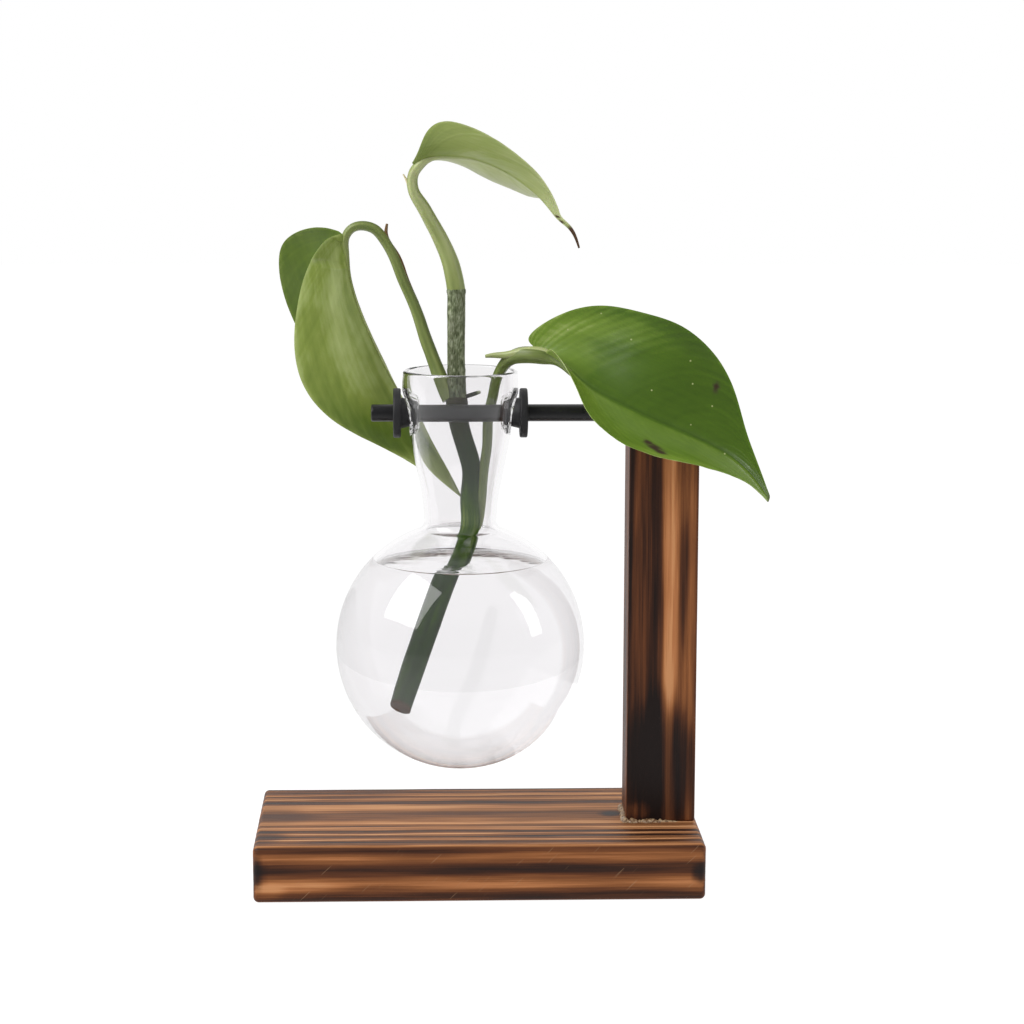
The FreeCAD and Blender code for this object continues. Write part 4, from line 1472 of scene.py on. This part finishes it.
RIGHT_LEAF = (
    ((0, 0, 0), (0, -0.018, 0.016), (-0.014, 0.018, 0.024)),
    ((0.04, -0.025, -0.013), (0.02, -0.07, 0.032), (-0.06, 0.035, 0.062)),
    ((0.088, -0.06, -0.05), (0.078, -0.165, -0.04), (0.035, 0.035, 0.142)),
    ((0.16, -0.1, -0.105), (0.124, -0.26, -0.142), (0.2, 0, 0.188)),
    ((0.25, -0.14, -0.15), (0.18, -0.33, -0.216), (0.34, -0.06, 0.17)),
    ((0.353, -0.176, -0.196), (0.29, -0.365, -0.287), (0.482, -0.106, 0.126)),
    ((0.456, -0.194, -0.24), (0.434, -0.365, -0.33), (0.596, -0.13, 0.034)),
    ((0.567, -0.206, -0.29), (0.58, -0.33, -0.368), (0.675, -0.153, -0.1)),
    ((0.672, -0.218, -0.35), (0.694, -0.282, -0.414), (0.718, -0.182, -0.247)),
    ((0.748, -0.224, -0.424), (0.753, -0.25, -0.46), (0.76, -0.206, -0.364)),
    ((0.8, -0.23, -0.495), (0.794, -0.238, -0.502), (0.803, -0.222, -0.48)),
)
TOP_LEAF = (
    ((0, 0, 0), (-0.03, -0.016, 0.015), (0.006, 0.024, 0.003)),
    ((0.035, -0.008, 0.032), (0, -0.056, 0.07), (0.052, 0.073, 0.032)),
    ((0.095, -0.016, 0.05), (0.04, -0.12, 0.165), (0.123, 0.153, 0.048)),
    ((0.174, -0.024, 0.052), (0.115, -0.17, 0.226), (0.21, 0.218, 0.024)),
    ((0.265, -0.032, 0.045), (0.226, -0.194, 0.215), (0.3, 0.25, -0.032)),
    ((0.365, -0.04, 0.016), (0.37, -0.194, 0.152), (0.408, 0.242, -0.085)),
    ((0.465, -0.04, -0.034), (0.513, -0.17, 0.052), (0.503, 0.2, -0.126)),
    ((0.553, -0.048, -0.097), (0.63, -0.13, -0.068), (0.58, 0.12, -0.153)),
    ((0.623, -0.056, -0.161), (0.697, -0.09, -0.187), (0.632, 0.01, -0.166)),
    ((0.698, -0.065, -0.247), (0.725, -0.082, -0.248), (0.695, -0.04, -0.252)),
    ((0.763, -0.07, -0.3), (0.773, -0.082, -0.298), (0.756, -0.061, -0.306)),
    ((0.808, -0.07, -0.398), (0.812, -0.074, -0.397), (0.804, -0.067, -0.4)),
)

VINE_ROUTE = (
    (-23.6, -26.5, 60.6, 3.25), (-15.9, -16.6, 78.4, 3.25), (-8.0, -6.3, 96.8, 3.1),
    (-2.1, 2.6, 114.0, 3.1), (-2.3, 4.6, 119.7, 3.1), (-1.7, 6.3, 128.9, 3.1),
    (-4.2, 7.0, 138.4, 3.1), (-6.3, 7.0, 148.0, 3.2), (-6.4, 7.8, 151.5, 3.3),
)
UPPER_ROUTE = (
    (-6.4, 7.6, 149.5, 3.3), (-6.6, 8.5, 161.5, 2.85), (-6.6, 8.7, 168.8, 2.85),
    (-6.6, 8.8, 176.2, 2.85), (-6.6, 9.0, 186.0, 2.9),
)
LEFT_ROUTE = (
    (-8.7, 8.1, 151.5, 2.5), (-10.4, 9.1, 155.0, 2.4), (-13.0, 11.0, 161.5, 2.2),
    (-16.3, 12.5, 170.4, 2.0), (-19.9, 13.5, 180.8, 1.7), (-23.4, 14.0, 188.6, 1.6),
    (-26.5, 14.0, 196.4, 1.6), (-29.5, 14.0, 201.6, 1.6), (-32.1, 14.0, 204.4, 1.6),
    (-36.1, 14.0, 205.6, 1.5), (-39.3, 14.0, 204.8, 1.4), (-41.4, 14.0, 202.0, 1.3),
    (-41.2, 14.5, 197.4, 0.85), (-40.5, 14.9, 191.9, 0.45), (-38.6, 15.5, 183.6, 0.35),
    (-35.0, 16.5, 173.9, 0.3), (-29.7, 17.5, 162.4, 0.25), (-23.4, 18.4, 150.0, 0.18),
    (-16.4, 18.4, 138.3, 0.1),
)
RIGHT_ROUTE = (
    (-1.9, 1.7, 108.2, 1.5), (0.7, 4.3, 114.0, 1.6), (1.2, 4.5, 118.0, 1.65),
    (2.4, 5.5, 131.0, 1.65), (3.2, 5.6, 136.7, 1.65), (3.8, 5.2, 148.0, 1.65),
    (5.0, 4.6, 153.0, 1.65), (5.8, 3.6, 157.3, 1.65), (7.3, 1.5, 161.5, 1.8),
    (10.6, -2.0, 165.4, 2.2), (14.1, -4.0, 166.5, 2.6), (17.9, -5.5, 166.5, 2.6),
    (20.7, -6.0, 166.1, 2.4), (24.1, -8.1, 165.0, 1.4), (28.2, -11.1, 161.8, 0.8),
    (34.3, -14.5, 157.2, 0.55), (42.0, -17.9, 153.4, 0.4), (50.7, -21.0, 149.4, 0.3),
    (59.5, -22.5, 145.7, 0.2), (68.9, -23.5, 141.5, 0.1),
)
TOP_ROUTE = (
    (-6.6, 9.0, 185.2, 2.9), (-7.4, 9.0, 190.2, 2.8), (-9.1, 8.5, 196.3, 2.6),
    (-11.8, 8.0, 202.3, 2.4), (-14.5, 7.0, 207.3, 2.2), (-17.5, 6.0, 212.7, 2.05),
    (-19.7, 5.0, 216.4, 1.8), (-20.3, 4.5, 219.5, 1.7), (-19.8, 3.5, 222.6, 1.65),
    (-18.8, 2.5, 224.2, 1.65), (-16.6, 2.0, 226.2, 1.4), (-12.9, 1.5, 227.3, 0.8),
    (-8.0, 1.0, 227.4, 0.6), (-2.4, 0.5, 227.0, 0.4), (3.8, 0.0, 225.2, 0.25),
    (10.0, 0.0, 222.1, 0.12),
)
ROOT_ROUTE = (
    (-5.0, 7.4, 151.9, 0.6), (-2.2, 6.7, 152.8, 0.65), (-0.2, 6.1, 153.5, 0.6),
    (1.0, 5.8, 153.9, 0.45),
)
TOP_SHEATH = (
    (-13.1, 8.0, 201.6, 0.35), (-15.6, 7.0, 206.6, 0.5), (-18.6, 6.0, 212.0, 0.5),
    (-20.9, 5.0, 215.8, 0.5), (-21.6, 4.5, 218.9, 0.5), (-23.2, 4.5, 222.0, 0.2),
)
LEFT_SHEATH = (
    (-18.6, 13.5, 181.4, 0.35), (-22.1, 14.0, 189.2, 0.5), (-25.2, 14.0, 197.0, 0.5),
    (-28.6, 14.0, 203.0, 0.6), (-28.3, 14.0, 206.2, 0.35),
)
RIGHT_SHEATH = (
    (24.6, -7.6, 165.6, 0.5), (21.4, -6.6, 167.4, 1.1), (17.5, -5.8, 168.0, 1.35),
    (12.9, -4.4, 167.4, 1.35), (8.4, -2.8, 166.4, 1.1), (4.6, -2.0, 166.2, 0.75),
    (2.2, -1.9, 165.9, 0.45),
)


@dataclass
class Cutting:
    """The plant: stems, leaf stalks, leaves and dry edges."""

    def stems(self) -> None:
        """Builds the green stem, the bark-covered stem and the dried root."""
        # Smooth olive vine skin, darker under water, with fine lengthwise ribs
        vine = PlantSkin(
            "smooth vine skin",
            ((0.0, "#0a1503"), (0.4, "#1c3206"), (0.7, "#3f5a17"), (1.0, "#80924a")),
            dry="#4a2f1a", rough=0.45, streak_width=0.8, streak_length=20.0, streak_depth=0.6,
            shine=0.1, glow=0.03,
        )
        # Young bark: corky and scurfy, brown-green with dark pits
        bark = PlantSkin(
            "scurfy young bark",
            ((0.0, "#14190d"), (0.35, "#394126"), (0.6, "#6e7758"), (1.0, "#bcc2a6")),
            dry="#241d12", rough=0.55, glow=0.03, streak_width=0.32, streak_length=1.8,
            streak_depth=1.0, shine=0.25,
        )
        Stalk(
            "stem", "vine_stem", "vine_skin", VINE_ROUTE, ribs=0.06, rib_count=9,
            shade=((0, 0.42), (0.4, 0.4), (0.52, 0.62), (0.62, 0.7), (0.75, 0.35), (1, 0.3)),
            dry=((0, 1.0), (0.004, 0.9), (0.012, 0.0), (0.85, 0.0), (1, 0.35)),
            rings=((0.985, 0.25, 1.2),), seed=31,
        ).build(vine.material())
        Stalk(
            "bark_stem", "upper_stem", "vine_bark", UPPER_ROUTE, ribs=0.05, rib_count=6,
            shade=((0, 0.42), (0.4, 0.58), (1, 0.58)), scurf=0.8,
            rings=((0.98, 0.25, 0.7), (0.3, 0.15, 0.6)), seed=32,
        ).build(bark.material())
        Stalk(
            "dried_root", "aerial_root", "dried_root", ROOT_ROUTE, ribs=0.02,
            shade=((0, 0.1), (0.75, 0.15), (0.95, 0.9), (1, 1.0)), dry=((0, 0.6), (1, 0.0)),
            seed=33, columns=24,
        ).build(bark.material())

    def stalks(self) -> None:
        """Builds the three leaf stalks and their dry sheath edges."""
        # Leaf stalk: green and glossy with fine ribs, paler where light comes through
        stalk = PlantSkin(
            "ribbed green leaf stalk",
            ((0.0, "#394a1c"), (0.4, "#5f6e35"), (0.7, "#8b9658"), (1.0, "#b9c08c")),
            rough=0.36, glow=0.2,
        ).material()
        # Dried sheath: papery cream to brown
        paper = PlantSkin(
            "papery dry sheath",
            ((0.0, "#6e4f2e"), (0.4, "#a88f5c"), (0.7, "#c9bb8b"), (1.0, "#e4ddbd")),
            dry="#5a3b22", rough=0.6, glow=0.1,
        ).material()
        for side, route, seed, shade in (
            ("left", LEFT_ROUTE, 41, ((0, 0.58), (0.45, 0.5), (0.6, 0.75), (1, 0.95))),
            ("right", RIGHT_ROUTE, 42, ((0, 0.45), (0.6, 0.45), (0.8, 0.75), (1, 0.8))),
            ("top", TOP_ROUTE, 43, ((0, 0.66), (0.3, 0.8), (0.8, 0.85), (1, 0.7))),
        ):
            name, node = side + "_stalk", side + "_petiole"
            Stalk(name, node, "green_stalk", route, shade=shade, seed=seed).build(stalk)
        for side, route, seed, shade, dry, skin in (
            ("top", TOP_SHEATH, 51, 0.8, 0.0, paper),
            ("left", LEFT_SHEATH, 52, 0.3, 0.7, paper),
            ("right", RIGHT_SHEATH, 53, 0.85, 0.0, stalk),
        ):
            Stalk(
                side + "_sheath_edge", side + "_sheath", "dry_sheath", route, ribs=0.03,
                shade=((0, shade), (1, shade)), dry=((0, dry), (1, dry)), seed=seed, columns=24,
            ).build(skin)

    def leaves(self) -> None:
        """Builds the three leaves."""
        # Young leaf blade, yellow-green and half glossy, browned at its tip
        young = PlantSkin(
            "young leaf blade",
            ((0.0, "#48591f"), (0.4, "#72843a"), (0.7, "#98a65b"), (1.0, "#c4cb97")),
            rough=0.38,
        )
        # Folded leaf blade seen from outside: mid green, with pale lengthwise streaks of painted sheen
        folded = PlantSkin(
            "folded leaf blade",
            ((0.0, "#3a5510"), (0.4, "#5d7420"), (0.7, "#869743"), (1.0, "#b4c17c")),
            rough=0.42, streak_width=0.9, streak_length=16.0, streak_depth=0.34,
        )
        # Full-grown leaf blade: deep glossy green with soft parallel veins
        broad = PlantSkin(
            "full-grown leaf blade",
            ((0.0, "#30480e"), (0.4, "#4b6816"), (0.7, "#6f8a2f"), (1.0, "#b4c27a")),
            dry="#33230e", rough=0.32, streak_width=1.0, streak_length=14.0, speck_gap=5.0,
        )
        Leaf(
            "young_leaf", "top_leaf", "young_leaf", (-18.8, 2.5, 224.2), 62.0, TOP_LEAF,
            near_shade=((0, 0.42), (0.2, 0.6), (0.5, 0.78), (0.75, 0.88), (1, 0.9)),
            far_shade=((0, 0.85), (1, 0.9)), inside_shade=((0, 0.6), (1, 0.6)), dry_from=0.86,
            spots=((0.8, -0.3, 0.7), (0.84, 0.3, 0.8)),
            vein_gap=2.6, vein_sweep=24.0, seed=61,
        ).build(young.material())
        Leaf(
            "folded_leaf", "left_leaf", "folded_leaf", (-41.4, 14.0, 202.0), 92.0, LEFT_LEAF,
            near_shade=(
                (0, 0.68), (0.2, 0.8), (0.45, 0.78), (0.7, 0.52), (0.77, 0.52), (0.84, 0.85), (1, 0.95),
            ),
            far_shade=((0, 0.78), (1, 0.84)),
            inside_shade=((0, 0.32), (0.7, 0.32), (0.8, 0.9), (1, 1.0)),
            # Painted sheen on the upper blade, and two darker patches lower down
            painted_sheen_and_dark_patches=(
                (0.13, -0.35, 0.1, 0.16, 0.12), (0.34, -0.42, 0.2, 0.12, 0.1),
                (0.5, -0.8, 0.35, 0.22, -0.12), (0.75, -0.4, 0.2, 0.5, -0.12),
            ),
            rib_at=-0.14, vein_gap=3.0, seed=62,
        ).build(folded.material())
        Leaf(
            "broad_leaf", "right_leaf", "broad_leaf", (20.7, -6.0, 166.1), 85.0, RIGHT_LEAF,
            near_shade=((0, 0.8), (0.3, 0.75), (0.7, 0.7), (1, 0.6)),
            far_shade=((0, 0.8), (1, 0.7)),
            inside_shade=((0, 0.48), (0.25, 0.36), (0.5, 0.26), (0.75, 0.32), (1, 0.48)),
            # Painted sheen that lightens the near half
            inside_near_sheen=0.24,
            # Painted sheen patches along the far margin and the near edge
            painted_sheen_and_dark_patches=(
                (0.1, 0.55, 0.13, 0.6, 0.24), (0.3, 0.78, 0.2, 0.16, 0.2),
                (0.55, -0.9, 0.14, 0.12, 0.16),
            ),
            spots=(
                (0.485, -0.57, 1.3), (0.509, -0.66, 1.9), (0.53, -0.76, 1.6), (0.633, 0.773, 1.0),
            ),
            dry_from=0.975, vein_gap=3.6, vein_shade=0.04, vein_height=0.012, seed=63,
        ).build(broad.material())

    def build(self) -> None:
        """Builds the whole cutting."""
        self.stems()
        self.stalks()
        self.leaves()


# Studio


def set_down(thing: bpy.types.Object, place: tuple, axes: tuple) -> None:
    """Puts a camera or lamp in the scene.

    Args:
        thing: The object.
        place: Its place in millimetres.
        axes: The directions of its own X, Y and Z.
    """
    matrix = np.eye(4)
    matrix[:3, :3] = np.stack(axes, axis=1)
    matrix[:3, 3] = np.array(place) * METRES
    thing.matrix_world = Matrix(matrix.tolist())
    bpy.context.scene.collection.objects.link(thing)


@dataclass(frozen=True)
class Studio:
    """Camera, white floor, white surround and two soft boxes.

    cards are bright patches of the room that the glass mirrors: a direction, and the cosine of
    the angle where each ends.
    """

    lens_pixels: float = 2679.64
    sensor: float = 36.0
    eye: tuple = (-20.563, -833.802, 247.994)
    yaw: float = 2.154
    pitch: float = 8.957
    roll: float = 0.178
    floor_half: float = 3000.0
    lamp_target: tuple = (0, 0, 100)
    lamp_through_glass: float = 0.3
    floor_glow: float = 0.92
    floor_glow_near: float = 0.3
    floor_through_glass: float = 0.84
    room: float = 0.42
    behind_glass: float = 0.82
    card_glow: float = 0.95
    card_edge: float = 0.02
    cards: tuple = (((-0.68, -0.34, 0.65), 0.955), ((0.86, -0.25, 0.44), 0.97))

    def camera(self) -> None:
        """The photograph's camera: yaw towards X, pitch down, then roll."""
        yaw, pitch, roll = (math.radians(a) for a in (self.yaw, self.pitch, self.roll))
        level = np.array([math.sin(yaw), math.cos(yaw), 0]) * math.cos(pitch)
        ahead = level - np.array([0, 0, math.sin(pitch)])
        right = np.array([math.cos(yaw), -math.sin(yaw), 0])
        up = np.cross(right, ahead)
        turned_right = math.cos(roll) * right + math.sin(roll) * up
        turned_up = -math.sin(roll) * right + math.cos(roll) * up
        data = bpy.data.cameras.new("camera")
        data.sensor_width = self.sensor
        data.lens = self.sensor * self.lens_pixels / PHOTO_PIXELS
        data.clip_end = 20.0
        camera = bpy.data.objects.new("camera", data)
        set_down(camera, self.eye, (turned_right, turned_up, -ahead))
        bpy.context.scene.camera = camera

    def seen_white(self, add: partial) -> Socket:
        """One for rays from the eye, or those that gloss or glass passes on.

        Args:
            add: add_node for a tree.

        Returns:
            A socket that is 1 or 0.
        """
        seen = add("LightPath", out="Is Camera Ray")
        for kind in ("Is Glossy Ray", "Is Transmission Ray"):
            passed = add("LightPath", out=kind)
            seen = add("Math", {0: seen, 1: passed}, operation="MAXIMUM")
        return seen

    def floor(self) -> None:
        """A matt white floor that glows to the eye and keeps a faint shadow."""
        half = self.floor_half * METRES
        mesh = bpy.data.meshes.new("floor")
        corners = [(-half, -half, 0), (half, -half, 0), (half, half, 0), (-half, half, 0)]
        mesh.from_pydata(corners, [], [(0, 1, 2, 3)])
        floor = bpy.data.objects.new("floor", mesh)
        bpy.context.scene.collection.objects.link(floor)
        material = bpy.data.materials.new("matt white studio paint")
        add = emptied(material)
        plain = add("BsdfDiffuse", {"Color": linear("#e6e6e6")})
        faint = add("BsdfDiffuse", {"Color": linear("#808080")})
        place = add("TexCoord", out="Object")
        depth = add("SeparateXYZ", {0: place}, "Y")
        fading = {"Value": depth, "From Min": -0.3, "From Max": 0.0, "To Min": self.floor_glow_near}
        front = add("MapRange", fading | {"To Max": self.floor_glow})
        glossy = add("LightPath", out="Is Glossy Ray")
        passed = add("LightPath", out="Transmission Depth")
        direct = add("Math", {0: glossy, 1: passed}, operation="SUBTRACT")
        seen = add("Mix", {0: passed, 2: self.floor_glow, 3: self.floor_through_glass})
        strength = add("Mix", {0: direct, 2: seen, 3: front})
        glow = add("Emission", {"Color": linear("#ffffff"), "Strength": strength})
        lit = add("AddShader", {0: faint, 1: glow})
        mix = add("MixShader", {0: self.seen_white(add), 1: plain, 2: lit})
        add("OutputMaterial", {"Surface": mix})
        mesh.materials.append(material)

    def surround(self) -> None:
        """A world that is white to the eye and behind the object, with a darker room in front."""
        world = bpy.data.worlds.new("surround")
        add = emptied(world)
        way = add("TexCoord", out="Generated")
        ahead = add("SeparateXYZ", {0: way}, "Y")
        darker = {"Value": ahead, "From Min": -0.25, "From Max": 0.45, "To Min": 0.22, "To Max": 1.0}
        room = add("MapRange", darker)
        for toward, spread in self.cards:
            near = add("VectorMath", {0: way, 1: toward}, "Value", operation="DOT_PRODUCT")
            edge = {"Value": near, "From Min": spread, "From Max": spread + self.card_edge}
            card = add("MapRange", edge | {"To Max": self.card_glow})
            room = add("Math", {0: room, 1: card}, operation="MAXIMUM")
        eye = add("LightPath", out="Is Camera Ray")
        depth = add("LightPath", out="Transmission Depth")
        pale = {"Value": ahead, "From Min": -0.9, "From Max": -0.2, "To Min": self.behind_glass}
        passed = add("Mix", {0: depth, 2: room, 3: add("MapRange", pale)})
        seen = add("Mix", {0: eye, 2: passed, 3: 1.0})
        strength = add("Mix", {0: self.seen_white(add), 2: self.room, 3: seen})
        light = add("Background", {"Color": linear("#ffffff"), "Strength": strength})
        add("OutputWorld", {"Surface": light})
        bpy.context.scene.world = world

    def lamp(self, name: str, place: tuple, size: tuple, watts: float) -> None:
        """A rectangular soft box that faces the vase and is dimmer when seen through glass.

        Args:
            name: The lamp's name.
            place: Its middle in millimetres.
            size: Width and height in millimetres.
            watts: Its power.
        """
        data = bpy.data.lights.new(name, "AREA")
        data.shape = "RECTANGLE"
        data.size, data.size_y = (s * METRES for s in size)
        data.energy = watts
        add = emptied(data)
        passed = add("LightPath", out="Transmission Depth")
        strength = add("Mix", {0: passed, 2: 1.0, 3: self.lamp_through_glass})
        add("OutputLight", {"Surface": add("Emission", {"Strength": strength})})
        lamp = bpy.data.objects.new(name, data)
        lamp.visible_transmission = False
        back = unit(np.array(place, float) - np.array(self.lamp_target, float))
        right = unit(np.cross([0, 0, 1], back))
        set_down(lamp, place, (right, np.cross(back, right), back))

    def build(self) -> None:
        """Sets up the studio."""
        self.camera()
        self.floor()
        self.surround()
        self.lamp("left_box", (-612, -308, 682), (640, 640), 7.1)
        self.lamp("right_box", (622, -178, 416), (170, 480), 1.5)
        bpy.context.scene.view_settings.view_transform = "Standard"


def main() -> None:
    logging.basicConfig(level=logging.INFO, format="%(name)s %(message)s")
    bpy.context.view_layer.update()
    for assembly in (Studio(), Stand(), Vase(), Rings(), Cutting()):
        assembly.build()
        log.info("built %s", type(assembly).__name__)


if __name__ == "__main__":
    main()
